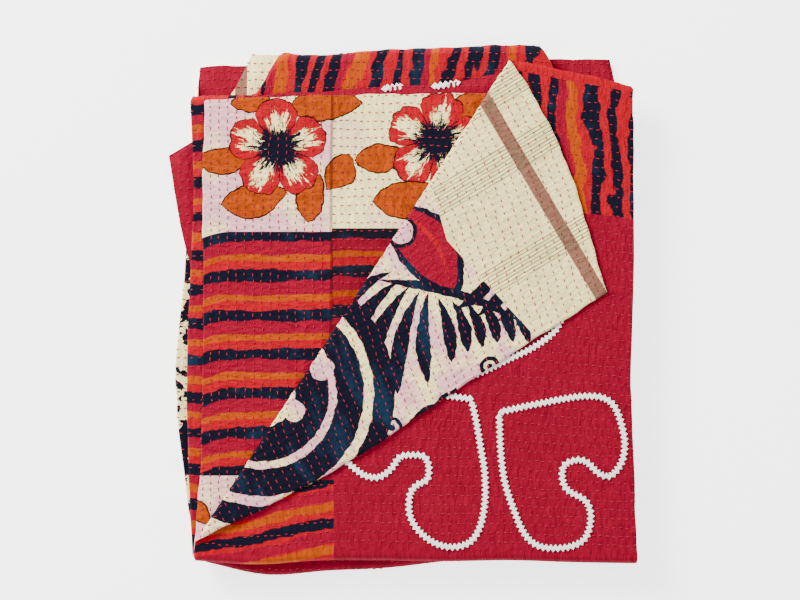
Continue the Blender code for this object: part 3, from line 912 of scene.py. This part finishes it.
class THROW_OT_stitches(bpy.types.Operator):
    """Sews the rows of running stitches through the quilted layers"""

    bl_idname = "throw.stitches"
    bl_label = "Sew the stitches"

    def execute(self, context):
        sizes = context.scene.throw_sizes
        cloth = context.scene.objects["throw_cloth"]
        mesh = cloth.data
        surface = BVHTree.FromPolygons(
            [vert.co for vert in mesh.vertices], [face.vertices for face in mesh.polygons]
        )
        pitch = sizes.row_pitch
        left_patch = (-0.01, PATCH_SEAM - 0.003, 0.01, 0.47)
        right_patch = (PATCH_SEAM + 0.002, 0.4, 0.08, 0.47)
        over = [
            *face_rows(pitch),
            *straight_rows((SECOND_REVERSE,), pitch, *left_patch, upright=True),
            *straight_rows((SECOND_REVERSE,), pitch, *right_patch),
            *straight_rows((LOWER_FACE, LOWER_REVERSE), pitch, -0.04, 0.44, -0.01, 0.52),
        ]
        under = straight_rows((LOWER_FACE,), pitch, -0.03, 0.46, -0.02, 0.53)
        stitch = new_object("stitch", stitch_mesh(sizes))
        tree = stitching_tree()
        values = {
            "Cloth": cloth, "Stitch": stitch, "Pitch": sizes.stitch_pitch, "Seed": sizes.seed,
            "Material": thread_cotton(context.scene.throw_colours),
        }
        for name, rows, start, lift in (
            ("top", over, OVER, TOP_LIFT), ("underside", under, UNDER, UNDERSIDE_LIFT)
        ):
            runs = [run for row in rows for run in clipped(cloth, surface, *row, start)]
            own = {"Ray": start[1], "Lift": sizes.thread * lift}
            made = sewn(f"running_stitches_{name}", runs, tree, {**values, **own})
            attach(made, "root")
        bpy.data.objects.remove(stitch)
        return {"FINISHED"}


class THROW_OT_braid(bpy.types.Operator):
    """Sews on the zigzag braid in two curled petals and in runs that other cloth partly covers"""

    bl_idname = "throw.braid"
    bl_label = "Sew on the braid"

    def execute(self, context):
        sizes = context.scene.throw_sizes
        tree = braid_tree()
        values = {
            "Cloth": context.scene.objects["throw_cloth"], "Pitch": sizes.braid_pitch,
            "Swing": sizes.braid_swing, "Width": sizes.braid_width, "Thickness": BRAID_THICKNESS,
            "Material": braid_cotton(context.scene.throw_colours),
        }
        for name, routes in (
            ("right", [RIGHT_PETAL]), ("left", [LEFT_PETAL]), ("edge", [CORNER_RUN]),
            ("upper", UPPER_RUNS),
        ):
            runs = [
                [(x - PILE_CENTRE[0], y - PILE_CENTRE[1], BRAID_HEIGHT) for x, y in route]
                for route in routes
            ]
            braid = sewn(f"rickrack_{name}_braid", runs, tree, values)
            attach(braid, "root")
            if name != "upper":
                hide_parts(f"rickrack_{name}")
        return {"FINISHED"}


# ---- materials


def add(tree, kind, *inputs, **settings):
    """Adds a node with its settings and, in order, values, nodes or sockets for its open inputs."""
    made = tree.nodes.new(kind)
    for name, value in settings.items():
        setattr(made, name, value)
    for socket, value in zip([s for s in made.inputs if s.enabled], inputs):
        if isinstance(value, bpy.types.Node):
            value = next(s for s in value.outputs if s.enabled)
        if isinstance(value, bpy.types.NodeSocket):
            tree.links.new(value, socket)
        elif value is not None:
            socket.default_value = value
    return made


def new_group(name, inputs, outputs):
    """An empty shader group of numbers, but for the inputs called Place and Centre: vectors."""
    tree = bpy.data.node_groups.new(name, "ShaderNodeTree")
    for labels, way in ((inputs, "INPUT"), (outputs, "OUTPUT")):
        for label in labels.split():
            kind = "NodeSocketVector" if label in ("Place", "Centre") else "NodeSocketFloat"
            tree.interface.new_socket(label, in_out=way, socket_type=kind)
    return tree, tree.nodes.new("NodeGroupInput").outputs, tree.nodes.new("NodeGroupOutput").inputs


def band_group():
    """1 where a value lies within half a width of a middle, with a soft edge."""
    tree, given, result = new_group("Band", "Value Middle Half Soft", "Band")
    value, middle, half, soft = given[:4]
    off = add(tree, MATH, value, middle, operation="SUBTRACT")
    off = add(tree, MATH, off, operation="ABSOLUTE")
    outer = add(tree, MATH, half, soft, operation="ADD")
    inner = add(tree, MATH, half, soft, operation="SUBTRACT")
    band = add(tree, MAP_RANGE, off, outer, inner)
    tree.links.new(band.outputs[0], result[0])
    return tree


def turned_place(tree, place, centre, turn):
    """A place as seen from a turned motif's own middle, and before it is turned."""
    apart = add(tree, VECTOR_MATH, place, centre, operation="SUBTRACT")
    turned = add(
        tree, "ShaderNodeVectorRotate", apart, (0, 0, 0), turn, rotation_type="Z_AXIS", invert=True
    )
    return turned, apart


def leaf_group():
    """A bent leaf: 1 inside it, and 1 inside its outline."""
    tree, given, result = new_group(
        "Leaf", "Place Centre Turn Length Width Bend Taper Line", "Leaf Outline"
    )
    place, centre, turn, length, width, bend, taper, line = given[:8]
    turned, _ = turned_place(tree, place, centre, turn)
    x, y, _ = add(tree, "ShaderNodeSeparateXYZ", turned).outputs
    share = add(tree, MATH, x, length, operation="DIVIDE")
    held = add(tree, MATH, share, 0.5, operation="MINIMUM")
    held = add(tree, MATH, held, -0.5, operation="MAXIMUM")
    angle = add(tree, MATH, held, math.pi, operation="MULTIPLY")
    swell = add(tree, MATH, angle, operation="COSINE")
    curve = add(tree, MATH, swell, bend, y, operation="MULTIPLY_ADD")
    off = add(tree, MATH, curve, operation="ABSOLUTE")
    fat = add(tree, MATH, taper, held, 0.5, operation="MULTIPLY_ADD")
    half = add(tree, MATH, width, fat, operation="MULTIPLY")
    rounded = add(tree, MATH, swell, 0.75, operation="POWER")
    inside = add(tree, MATH, rounded, half, operation="MULTIPLY")
    inside = add(tree, MATH, inside, off, operation="SUBTRACT")
    far = add(tree, MATH, x, operation="ABSOLUTE")
    end = add(tree, MATH, length, -0.5, far, operation="MULTIPLY_ADD")
    end = add(tree, MATH, end, 0, operation="MAXIMUM")
    inside = add(tree, MATH, inside, end, operation="SUBTRACT")
    grown = add(tree, MATH, inside, line, operation="ADD")
    for depth, socket in ((inside, result[0]), (grown, result[1])):
        mask = add(tree, MAP_RANGE, depth, -SOFT_EDGE, SOFT_EDGE)
        tree.links.new(mask.outputs[0], socket)
    return tree


def ring_group(band):
    """A printed ring, or a disc where its radius is 0."""
    tree, given, result = new_group("Ring", "Place Centre Radius Half", "Ring")
    place, centre, radius, half = given[:4]
    far = add(tree, VECTOR_MATH, place, centre, operation="DISTANCE")
    ring = add(tree, GROUP, far, radius, half, SOFT_EDGE, node_tree=band)
    tree.links.new(ring.outputs[0], result[0])
    return tree


def flower_group():
    """A flower: its outline, its petals, the brushed white in them and its spiky middle."""
    tree, given, result = new_group(
        "Flower", "Place Centre Turn Radius", "Outline Petals White Middle"
    )
    place, centre, turn, radius = given[:4]
    turned, apart = turned_place(tree, place, centre, turn)
    x, y, _ = add(tree, "ShaderNodeSeparateXYZ", turned).outputs
    angle = add(tree, MATH, y, x, operation="ARCTAN2")
    far = add(tree, VECTOR_MATH, turned, operation="LENGTH")
    share = add(tree, MATH, far, radius, operation="DIVIDE")
    # The wave is 1 in the middle of each petal and 0 between two of them
    wave = add(tree, MATH, angle, PETALS / 2, operation="MULTIPLY")
    wave = add(tree, MATH, wave, operation="COSINE")
    wave = add(tree, MATH, wave, operation="ABSOLUTE")
    reach = add(tree, MATH, wave, 0.42, operation="POWER")
    reach = add(tree, MATH, reach, 0.42, 0.46, operation="MULTIPLY_ADD")
    wobble = add(tree, NOISE, place, 0.07, 2)
    reach = add(tree, MATH, wobble, 0.22, reach, operation="MULTIPLY_ADD")
    depth = add(tree, MATH, reach, share, operation="SUBTRACT")
    inside = add(tree, MATH, depth, radius, operation="MULTIPLY")
    outline = add(tree, MAP_RANGE, inside, -1.5, -1.0)
    petals = add(tree, MAP_RANGE, inside, -0.2, 0.3)
    gap = add(tree, MATH, wave, share, operation="MULTIPLY")
    gap = add(tree, MAP_RANGE, gap, 0.022, 0.034)
    petals = add(tree, MATH, petals, gap, operation="MINIMUM")
    # Streaks of a dry brush run out from the middle
    outwards = add(tree, VECTOR_MATH, apart, operation="NORMALIZE")
    brush = add(tree, VECTOR_MATH, outwards, 4.5, operation="SCALE")
    slow = add(tree, "ShaderNodeCombineXYZ", 0, 0, share)
    brush = add(tree, VECTOR_MATH, brush, slow, operation="ADD")
    streak = add(tree, NOISE, brush, 1.7, 4, 0.75)
    rim = add(tree, MATH, wave, 0.35, depth, operation="MULTIPLY_ADD")
    white = add(tree, MATH, streak, 1.5, rim, operation="MULTIPLY_ADD")
    white = add(tree, MAP_RANGE, white, 1.29, 1.35)
    white = add(tree, MATH, white, petals, operation="MINIMUM")
    spiky = add(tree, MATH, streak, 1.25, -0.17, operation="MULTIPLY_ADD")
    spiky = add(tree, MATH, spiky, share, operation="SUBTRACT")
    middle = add(tree, MAP_RANGE, spiky, -0.01, 0.02)
    for value, socket in zip((outline, petals, white, middle), result):
        tree.links.new(value.outputs[0], socket)
    return tree


def sway_group():
    """How far across its repeat a place of a wavy stripe print is, from 0 to 1."""
    tree, given, result = new_group("Sway", "Across Along Period Tilt Sway Seed", "Phase")
    across, along, period, tilt, sway, seed = given[:6]
    place = add(tree, "ShaderNodeCombineXYZ", across, along, seed)
    place = add(tree, VECTOR_MATH, place, (0.022, 0.012, 7.3), operation="MULTIPLY")
    cloud = add(tree, NOISE, place, 1, 3, 0.6)
    cloud = add(tree, MATH, cloud, 0.5, operation="SUBTRACT")
    leaning = add(tree, MATH, along, tilt, across, operation="MULTIPLY_ADD")
    moved = add(tree, MATH, cloud, sway, leaning, operation="MULTIPLY_ADD")
    turns = add(tree, MATH, moved, period, operation="DIVIDE")
    tree.links.new(add(tree, MATH, turns, operation="FRACT").outputs[0], result[0])
    return tree


def stripe_group():
    """One stripe of the repeat, of uneven width and with a ragged edge."""
    tree, given, result = new_group("Stripe", "Place Phase Period Middle Half", "Stripe")
    place, phase, period, middle, half = given[:5]
    rough = add(tree, NOISE, place, 0.03, 4, 0.7)
    wide = add(tree, MATH, rough, 2.2, -0.1, operation="MULTIPLY_ADD")
    wide = add(tree, MATH, wide, half, operation="MULTIPLY")
    off = add(tree, MATH, phase, middle, operation="SUBTRACT")
    off = add(tree, MATH, off, 0.5, operation="ADD")
    off = add(tree, MATH, off, operation="FRACT")
    off = add(tree, MATH, off, 0.5, operation="SUBTRACT")
    off = add(tree, MATH, off, operation="ABSOLUTE")
    off = add(tree, MATH, off, period, operation="MULTIPLY")
    inside = add(tree, MATH, wide, off, operation="SUBTRACT")
    stripe = add(tree, MAP_RANGE, inside, -SOFT_STRIPE, SOFT_STRIPE)
    tree.links.new(stripe.outputs[0], result[0])
    return tree


def cloud_group():
    """Soft clouds as a share of 0 to 1, for dye that is uneven or has faded."""
    tree, given, result = new_group("Clouds", "Place Size Low High", "Share")
    place, size, low, high = given[:4]
    scale = add(tree, MATH, 1, size, operation="DIVIDE")
    cloud = add(tree, NOISE, place, scale, 4, 0.62)
    tree.links.new(add(tree, MAP_RANGE, cloud, low, high).outputs[0], result[0])
    return tree


Kit = namedtuple("Kit", "band leaf ring flower sway stripe clouds")


def print_groups():
    band = band_group()
    return Kit(
        band, leaf_group(), ring_group(band), flower_group(), sway_group(), stripe_group(),
        cloud_group(),
    )


def darker(tone, share):
    return [c * share for c in tone[:3]] + [1]


Canvas = namedtuple("Canvas", "tree place printed x y")


def new_material(name):
    made = bpy.data.materials.new(name)
    made.use_nodes = True
    return made, made.node_tree, made.node_tree.nodes["Principled BSDF"]


def new_cotton(name):
    """A material with its print's place in millimetres, plain and shaken as by a hand block."""
    made, tree, _ = new_material(name)
    where = add(tree, "ShaderNodeUVMap", uv_map="print")
    place = add(tree, VECTOR_MATH, where, 1000, operation="SCALE")
    shake = add(tree, NOISE, place, 0.11, 3).outputs["Color"]
    shake = add(tree, VECTOR_MATH, shake, (0.5, 0.5, 0.5), operation="SUBTRACT")
    shake = add(tree, VECTOR_MATH, shake, 5, operation="SCALE")
    printed = add(tree, VECTOR_MATH, place, shake, operation="ADD")
    x, y, _ = add(tree, "ShaderNodeSeparateXYZ", place).outputs
    return made, Canvas(tree, place, printed, x, y)


def quilt(canvas, dye, *layers):
    """Prints a cotton's last layers, gives it gathers and weave, and paints their shade and light:
    matt, with a little nap.
    """
    tree = canvas.tree
    shader = tree.nodes["Principled BSDF"]
    for mask, tone in layers:
        dye = add(tree, MIX, mask, dye, tone, data_type="RGBA")
    # Gathers run across the stitch rows, about 4 mm apart and 10 mm long
    rows = add(tree, "ShaderNodeUVMap", uv_map="rows")
    rows = add(tree, VECTOR_MATH, rows, (250, 95, 0), operation="MULTIPLY")
    gathers = add(tree, NOISE, rows, 1, 3, 0.55, 2, 0.5)
    # Slubs of the weave are 0.4 mm apart on the real cloth and drawn 1.4 mm apart so that they show
    warp = add(tree, VECTOR_MATH, canvas.place, (0.12, 1, 1), operation="MULTIPLY")
    weft = add(tree, VECTOR_MATH, canvas.place, (1, 0.12, 1), operation="MULTIPLY")
    warp = add(tree, NOISE, warp, 0.7, 2, 0.6)
    weft = add(tree, NOISE, weft, 0.7, 2, 0.6)
    weave = add(tree, MATH, warp, weft, operation="ADD")
    height = add(tree, MATH, weave, 0.16, gathers, operation="MULTIPLY_ADD")
    bump = add(tree, "ShaderNodeBump", 1, 0.0022, None, height)
    # Painted shade darkens the hollows between the gathers and threads, and painted light brightens
    # their raised tops
    wear_and_shade = add(tree, MATH, weave, 0.25, gathers, operation="MULTIPLY_ADD")
    wear_and_shade = add(tree, MAP_RANGE, wear_and_shade, 0.5, 1.0, 0.74, 1.2)
    shaded = add(tree, VECTOR_MATH, dye, wear_and_shade, operation="SCALE")
    tree.links.new(shaded.outputs[0], shader.inputs["Base Color"])
    tree.links.new(bump.outputs[0], shader.inputs["Normal"])
    shader.inputs["Roughness"].default_value = 0.88
    shader.inputs["Sheen Weight"].default_value = 0.01
    shader.inputs["Specular IOR Level"].default_value = 0.1


def striped(canvas, kit, tones, stripes, upright):
    """A stripe print, its stripes upright or level."""
    tree = canvas.tree
    across, along = (canvas.x, canvas.y) if upright else (canvas.y, canvas.x)
    across = add(tree, MATH, across, stripes.shift, operation="ADD")
    phase = add(
        tree, GROUP, across, along, stripes.period, stripes.tilt, stripes.sway, stripes.seed,
        node_tree=kit.sway,
    )
    faded = add(tree, GROUP, canvas.place, 40, 0.52, 0.7, node_tree=kit.clouds)
    navy = add(tree, MIX, faded, tones.navy, tones.faded, data_type="RGBA")
    bands = getattr(tones, stripes.base)
    for middle, half, name in stripes.rows:
        mask = add(
            tree, GROUP, canvas.printed, phase, stripes.period, middle, half,
            node_tree=kit.stripe,
        )
        tone = navy if name == "navy" else getattr(tones, name)
        bands = add(tree, MIX, mask, bands, tone, data_type="RGBA")
    return bands


def leaf_masks(canvas, kit, leaf, line):
    """Where a leaf and its outline are printed."""
    return add(
        canvas.tree, GROUP, canvas.printed, (leaf.x, leaf.y, 0), math.radians(leaf.turn),
        leaf.length, leaf.width, leaf.bend, leaf.taper, line, node_tree=kit.leaf,
    ).outputs


def lower_face_cotton(tones):
    """Plain crimson cotton of the lower layers: uneven dye gives it soft darker clouds."""
    made, canvas = new_cotton("quilted_cotton_plain")
    cloud = add(canvas.tree, NOISE, canvas.place, *DYE_CLOUDS)
    quilt(canvas, tones.crimson, (cloud, darker(tones.crimson, 0.8)))
    return made


def face_cotton(tones, kit):
    """Crimson cotton with a striped patch at two corners: the patches break up the plain red."""
    made, canvas = new_cotton("quilted_cotton_crimson")
    tree = canvas.tree
    cloud = add(tree, NOISE, canvas.place, *DYE_CLOUDS)
    upright = striped(canvas, kit, tones, UPRIGHT_STRIPES, True)
    level = striped(canvas, kit, tones, LEVEL_STRIPES, False)
    # The upper patch ends in a shallow curve that falls away to the right
    aside = add(tree, MATH, canvas.x, UPPER_PATCH.x, operation="SUBTRACT")
    squared = add(tree, MATH, aside, aside, operation="MULTIPLY")
    rise = add(tree, MATH, squared, UPPER_PATCH.curve, canvas.y, operation="MULTIPLY_ADD")
    upper = add(tree, MAP_RANGE, rise, UPPER_PATCH.foot, UPPER_PATCH.foot + 0.6)
    left = add(tree, MAP_RANGE, canvas.x, LOWER_PATCH.side, LOWER_PATCH.side - 0.5)
    low = add(tree, MAP_RANGE, canvas.y, LOWER_PATCH.top, LOWER_PATCH.top - 0.5)
    lower = add(tree, MATH, left, low, operation="MULTIPLY")
    edge = add(tree, MATH, aside, TOP_HEM.slant, canvas.y, operation="MULTIPLY_ADD")
    hem = add(tree, MAP_RANGE, edge, TOP_HEM.foot, TOP_HEM.foot + 0.6)
    quilt(
        canvas, tones.crimson, (cloud, darker(tones.crimson, 0.8)),
        (upper, upright), (lower, level), (hem, tones.scarlet),
    )
    return made


def flower_cotton(tones, kit):
    """Block-printed cotton: brushed flowers on cream stained pink, and hand-printed stripes."""
    made, canvas = new_cotton("quilted_cotton_flowers")
    tree = canvas.tree
    stain = add(tree, GROUP, canvas.place, 85, 0.48, 0.62, node_tree=kit.clouds)
    patch_seam = PATCH_SEAM * 1000
    right = add(tree, MAP_RANGE, canvas.x, patch_seam - 0.3, patch_seam + 0.3)
    unstained = add(tree, MATH, right, 0.7, stain, operation="MULTIPLY_ADD", use_clamp=True)
    art = add(tree, MIX, unstained, tones.pink, tones.cream, data_type="RGBA")
    vein = add(tree, GROUP, canvas.printed, 9, 0.45, 0.62, node_tree=kit.clouds)
    brushed = darker(tones.orange, 0.72)
    orange = add(tree, MIX, vein, tones.orange, brushed, data_type="RGBA")
    layers = []
    for leaf in ORANGE_LEAVES:
        inside, outline = leaf_masks(canvas, kit, leaf, OUTLINE)
        layers += [(outline, tones.outline), (inside, orange)]
    for flower in FLOWERS:
        masks = add(
            tree, GROUP, canvas.printed, (flower.x, flower.y, 0),
            math.radians(flower.turn), flower.radius, node_tree=kit.flower,
        ).outputs
        layers += zip(masks, (tones.outline, tones.scarlet, tones.cream, tones.navy))
    for mask, tone in layers:
        art = add(tree, MIX, mask, art, tone, data_type="RGBA")
    # Stripes droop at the left, where the patch is drawn down by the fold
    near = add(tree, MAP_RANGE, canvas.x, 30, -5, 0, 3)
    droop = add(tree, MATH, near, near, canvas.y, operation="MULTIPLY_ADD")
    raised = add(tree, MATH, right, -3.5, droop, operation="MULTIPLY_ADD")
    field = canvas._replace(y=raised.outputs[0])
    bands = striped(field, kit, tones, FIELD_STRIPES, False)
    head = add(tree, MAP_RANGE, raised, FIELD.top, FIELD.top - 0.6)
    foot = add(tree, MAP_RANGE, canvas.y, FIELD.foot, FIELD.foot + 0.5)
    in_field = add(tree, MATH, head, foot, operation="MULTIPLY")
    # The right patch is darkened with painted shade of its deeper crinkles, and a painted shadow
    # lies in the seam between the two; both take the outline's dark tone
    right_patch_shade = add(tree, MATH, right, 0.25, operation="MULTIPLY")
    bands = add(tree, MIX, right_patch_shade, bands, tones.outline, data_type="RGBA")
    seam = add(tree, GROUP, canvas.x, patch_seam, 0.7, 0.5, node_tree=kit.band)
    seam = add(tree, MATH, seam, 0.3, operation="MULTIPLY")
    quilt(canvas, art, (in_field, bands), (seam, tones.outline))
    return made


def corner_cotton(tones, kit):
    """Cream cotton with a woven check, joined to cotton printed with plumes, a bud and rings."""
    made, canvas = new_cotton("quilted_cotton_plumes")
    tree = canvas.tree
    # Navy has washed out in streaks that run along the stitch rows
    streaks = add(tree, "ShaderNodeUVMap", uv_map="rows")
    streaks = add(tree, VECTOR_MATH, streaks, (240, 1000, 0), operation="MULTIPLY")
    faded = add(tree, GROUP, streaks, 30, 0.5, 0.64, node_tree=kit.clouds)
    stain = add(tree, GROUP, canvas.place, 48, 0.44, 0.56, node_tree=kit.clouds)
    inks = {
        "navy": add(tree, MIX, faded, tones.navy, tones.faded, data_type="RGBA"),
        "ground": add(tree, MIX, stain, tones.pink, tones.cream, data_type="RGBA"),
        "crimson": tones.crimson,
        "scarlet": tones.scarlet,
    }
    layers = [
        (leaf_masks(canvas, kit, leaf, 0)[0], inks[ink])
        for leaf, ink in (*[(leaf, "navy") for leaf in PLUME_LEAVES], *BUD)
    ]
    for ring in (*RINGS, *BUD_EYE):
        mask = add(
            tree, GROUP, canvas.printed, (ring.x, ring.y, 0), ring.radius, ring.half,
            node_tree=kit.ring,
        )
        layers.append((mask, inks[ring.tone]))
    art = inks["ground"]
    for mask, ink in layers:
        art = add(tree, MIX, mask, art, ink, data_type="RGBA")
    # Along and in from the corner's upper edge
    top = (*CREASE_TOP * 1000, 0)
    apart = add(tree, VECTOR_MATH, canvas.place, top, operation="SUBTRACT")
    run, inwards = (
        add(tree, VECTOR_MATH, apart, way, operation="DOT_PRODUCT").outputs["Value"]
        for way in ((*CORNER_EDGE, 0), (CORNER_EDGE[1], -CORNER_EDGE[0], 0))
    )
    band = add(tree, GROUP, inwards, *BROWN_STRIPE, 0.4, node_tree=kit.band)
    fine = add(tree, MATH, run, LINE_SPACING, operation="DIVIDE")
    fine = add(tree, MATH, fine, operation="FRACT")
    fine = add(tree, GROUP, fine, 0.5, 0.15, 0.04, node_tree=kit.band)
    within = 0
    for middle in LINE_SETS:
        one = add(tree, GROUP, run, middle, HALF_SET, 0.3, node_tree=kit.band)
        within = add(tree, MATH, within, one, operation="MAXIMUM")
    lines = add(tree, MATH, fine, within, operation="MULTIPLY")
    lines = add(tree, MATH, lines, 0.8, operation="MULTIPLY")
    age = add(tree, GROUP, canvas.place, 60, 0.4, 0.65, node_tree=kit.clouds)
    # The printed part ends in a seam: steep near the crease, and then slanting to the corner's edge
    steep, slant = (
        add(tree, MATH, canvas.y, *line, operation="MULTIPLY_ADD") for line in PRINT_SEAM
    )
    seam = add(tree, MATH, steep, slant, operation="MAXIMUM")
    past = add(tree, MATH, canvas.x, seam, operation="SUBTRACT")
    printed_part = add(tree, MAP_RANGE, past, 0.3, -0.3)
    quilt(
        canvas, tones.cream, (age, darker(tones.cream, 0.86)), (band, tones.brown),
        (lines, tones.check), (printed_part, art),
    )
    return made


def lower_cotton(tones, kit):
    """The printed reverse of the lower layers: stripes, then dark leaves, then pale cotton."""
    made, canvas = new_cotton("quilted_cotton_lower")
    tree = canvas.tree
    level = striped(canvas, kit, tones, LOWER_STRIPES, False)
    upright = striped(canvas, kit, tones, ROLL_STRIPES, True)
    fold_line = 2 * (RUN_LENGTH + math.pi * END_RADIUS) * 1000
    roll = add(tree, GROUP, canvas.y, fold_line, ROLL_HALF + 0.5, 0.5, node_tree=kit.band)
    patch = add(tree, MAP_RANGE, canvas.x, ROLL_START, ROLL_START + 1)
    roll = add(tree, MATH, roll, patch, operation="MULTIPLY")
    leafy = add(tree, GROUP, canvas.printed, 30, 0.495, 0.505, node_tree=kit.clouds)
    leafy = add(tree, MIX, leafy, tones.cream, tones.navy, data_type="RGBA")
    third, last = (
        add(tree, MAP_RANGE, canvas.y, start, start + 1)
        for start in (fold_line + ROLL_HALF, fold_line * 1.5)
    )
    stain = add(tree, GROUP, canvas.place, 60, 0.5, 0.65, node_tree=kit.clouds)
    half = BROWN_STRIPE[1] - 0.4
    band = add(tree, GROUP, canvas.x, LOWER_BROWN, half, 0.4, node_tree=kit.band)
    pale = tones.cream
    for mask, tone in ((stain, tones.pink), (band, tones.brown)):
        pale = add(tree, MIX, mask, pale, tone, data_type="RGBA")
    quilt(canvas, level, (roll, upright), (third, leafy), (last, pale))
    return made


def hem_cotton(tones):
    """The turned and oversewn edge: the same crimson, darker where dirt has worn into it."""
    made, canvas = new_cotton("quilted_cotton_hem")
    cloud = add(canvas.tree, NOISE, canvas.place, 0.2, 3)
    quilt(canvas, tones.crimson, (cloud, darker(tones.crimson, 0.7)))
    return made


def thread_cotton(tones):
    """Red sewing thread: matt, and paler or darker from place to place, as hand stitching fades."""
    made, tree, shader = new_material("thread_cotton_red")
    where = add(tree, "ShaderNodeTexCoord").outputs["Object"]
    cloud = add(tree, NOISE, where, 60, 2)
    wear_and_shade = darker(tones.thread, 0.6)
    mixed = add(tree, MIX, cloud, tones.thread, wear_and_shade, data_type="RGBA")
    tree.links.new(next(s for s in mixed.outputs if s.enabled), shader.inputs["Base Color"])
    shader.inputs["Roughness"].default_value = 0.8
    return made


def braid_cotton(tones):
    """Woven white cotton braid: slightly yellowed, with fine yarns that give it a grainy edge and
    painted shade in the hollows between them.
    """
    made, tree, shader = new_material("rickrack_cotton_white")
    where = add(tree, "ShaderNodeTexCoord").outputs["Object"]
    yarns = add(tree, NOISE, where, 900, 2, 0.7)
    share = add(tree, MAP_RANGE, yarns, 0.5, 0.34)
    # Painted shade: the braid is darker where its yarn bump is lowest
    hollow_shade = darker(tones.braid, 0.6)
    mixed = add(tree, MIX, share, tones.braid, hollow_shade, data_type="RGBA")
    bump = add(tree, "ShaderNodeBump", 0.6, 0.0003, None, yarns)
    tree.links.new(next(s for s in mixed.outputs if s.enabled), shader.inputs["Base Color"])
    tree.links.new(bump.outputs[0], shader.inputs["Normal"])
    shader.inputs["Roughness"].default_value = 0.75
    return made


# ---- the stage

Lamp = namedtuple("Lamp", "name place size power")
LAMPS = (Lamp("key", (-1.6, 1.6, 1.5), 1.1, 175), Lamp("fill", (1.4, -0.9, 2.0), 2.0, 25))
DAYLIGHT = 0.95
FLOOR_GLOW = 2.6
# The threads under the pile hold its cloth this far off the floor
FLOOR_GAP = 0.001
CAMERA_PLACE = (-0.0055, 0.0095, 3.035)
CAMERA_LENS = 135


class THROW_OT_stage(bpy.types.Operator):
    """Sets out a pale floor, soft lights and a camera straight above the throw"""

    bl_idname = "throw.stage"
    bl_label = "Set the stage"

    def execute(self, context):
        tones = context.scene.throw_colours
        mesh = bpy.data.meshes.new("floor")
        sheet = bmesh.new()
        under = Matrix.Translation((0, 0, -FLOOR_GAP))
        bmesh.ops.create_grid(sheet, x_segments=1, y_segments=1, size=4, matrix=under)
        sheet.to_mesh(mesh)
        sheet.free()
        floor = new_object("floor", mesh)
        made, _, shader = new_material("floor_paper")
        shader.inputs["Base Color"].default_value = tones.floor
        shader.inputs["Roughness"].default_value = 0.9
        shader.inputs["Emission Color"].default_value = tones.floor
        shader.inputs["Emission Strength"].default_value = FLOOR_GLOW
        mesh.materials.append(made)
        floor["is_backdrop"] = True
        for row in LAMPS:
            data = bpy.data.lights.new(row.name, "AREA")
            data.size = row.size
            data.energy = row.power
            lamp = bpy.data.objects.new(row.name, data)
            lamp.location = row.place
            lamp.rotation_euler = (-Vector(row.place)).to_track_quat("-Z", "Y").to_euler()
            context.collection.objects.link(lamp)
        world = bpy.data.worlds.new("studio")
        world.use_nodes = True
        background = world.node_tree.nodes["Background"]
        background.inputs["Color"].default_value = (1, 1, 1, 1)
        background.inputs["Strength"].default_value = DAYLIGHT
        context.scene.world = world
        data = bpy.data.cameras.new("camera")
        data.lens = CAMERA_LENS
        camera = bpy.data.objects.new("camera", data)
        camera.location = CAMERA_PLACE
        context.collection.objects.link(camera)
        context.scene.camera = camera
        return {"FINISHED"}


OPERATORS = (THROW_OT_stage, THROW_OT_cloth, THROW_OT_stitches, THROW_OT_braid)


class THROW_PT_panel(bpy.types.Panel):
    bl_label = "Folded throw"
    bl_idname = "THROW_PT_panel"
    bl_space_type = "VIEW_3D"
    bl_region_type = "UI"
    bl_category = "Throw"

    def draw(self, context):
        for group in (context.scene.throw_sizes, context.scene.throw_colours):
            for name in group.__annotations__:
                self.layout.prop(group, name)
        for operator in OPERATORS:
            self.layout.operator(operator.bl_idname)


CLASSES = (ThrowSizes, ThrowColours, *OPERATORS, THROW_PT_panel)


def register():
    for made in CLASSES:
        bpy.utils.register_class(made)
    bpy.types.Scene.throw_sizes = PointerProperty(type=ThrowSizes)
    bpy.types.Scene.throw_colours = PointerProperty(type=ThrowColours)


def unregister():
    del bpy.types.Scene.throw_colours
    del bpy.types.Scene.throw_sizes
    for made in reversed(CLASSES):
        bpy.utils.unregister_class(made)


def main():
    register()
    bpy.ops.throw.stage()
    bpy.ops.throw.cloth()
    bpy.ops.throw.stitches()
    bpy.ops.throw.braid()
    size = {
        name: [[float(value) for value in corner] for corner in box]
        for name, box in (("cad", cad_box), ("visual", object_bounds()))
    }


if __name__ == "__main__":
    main()
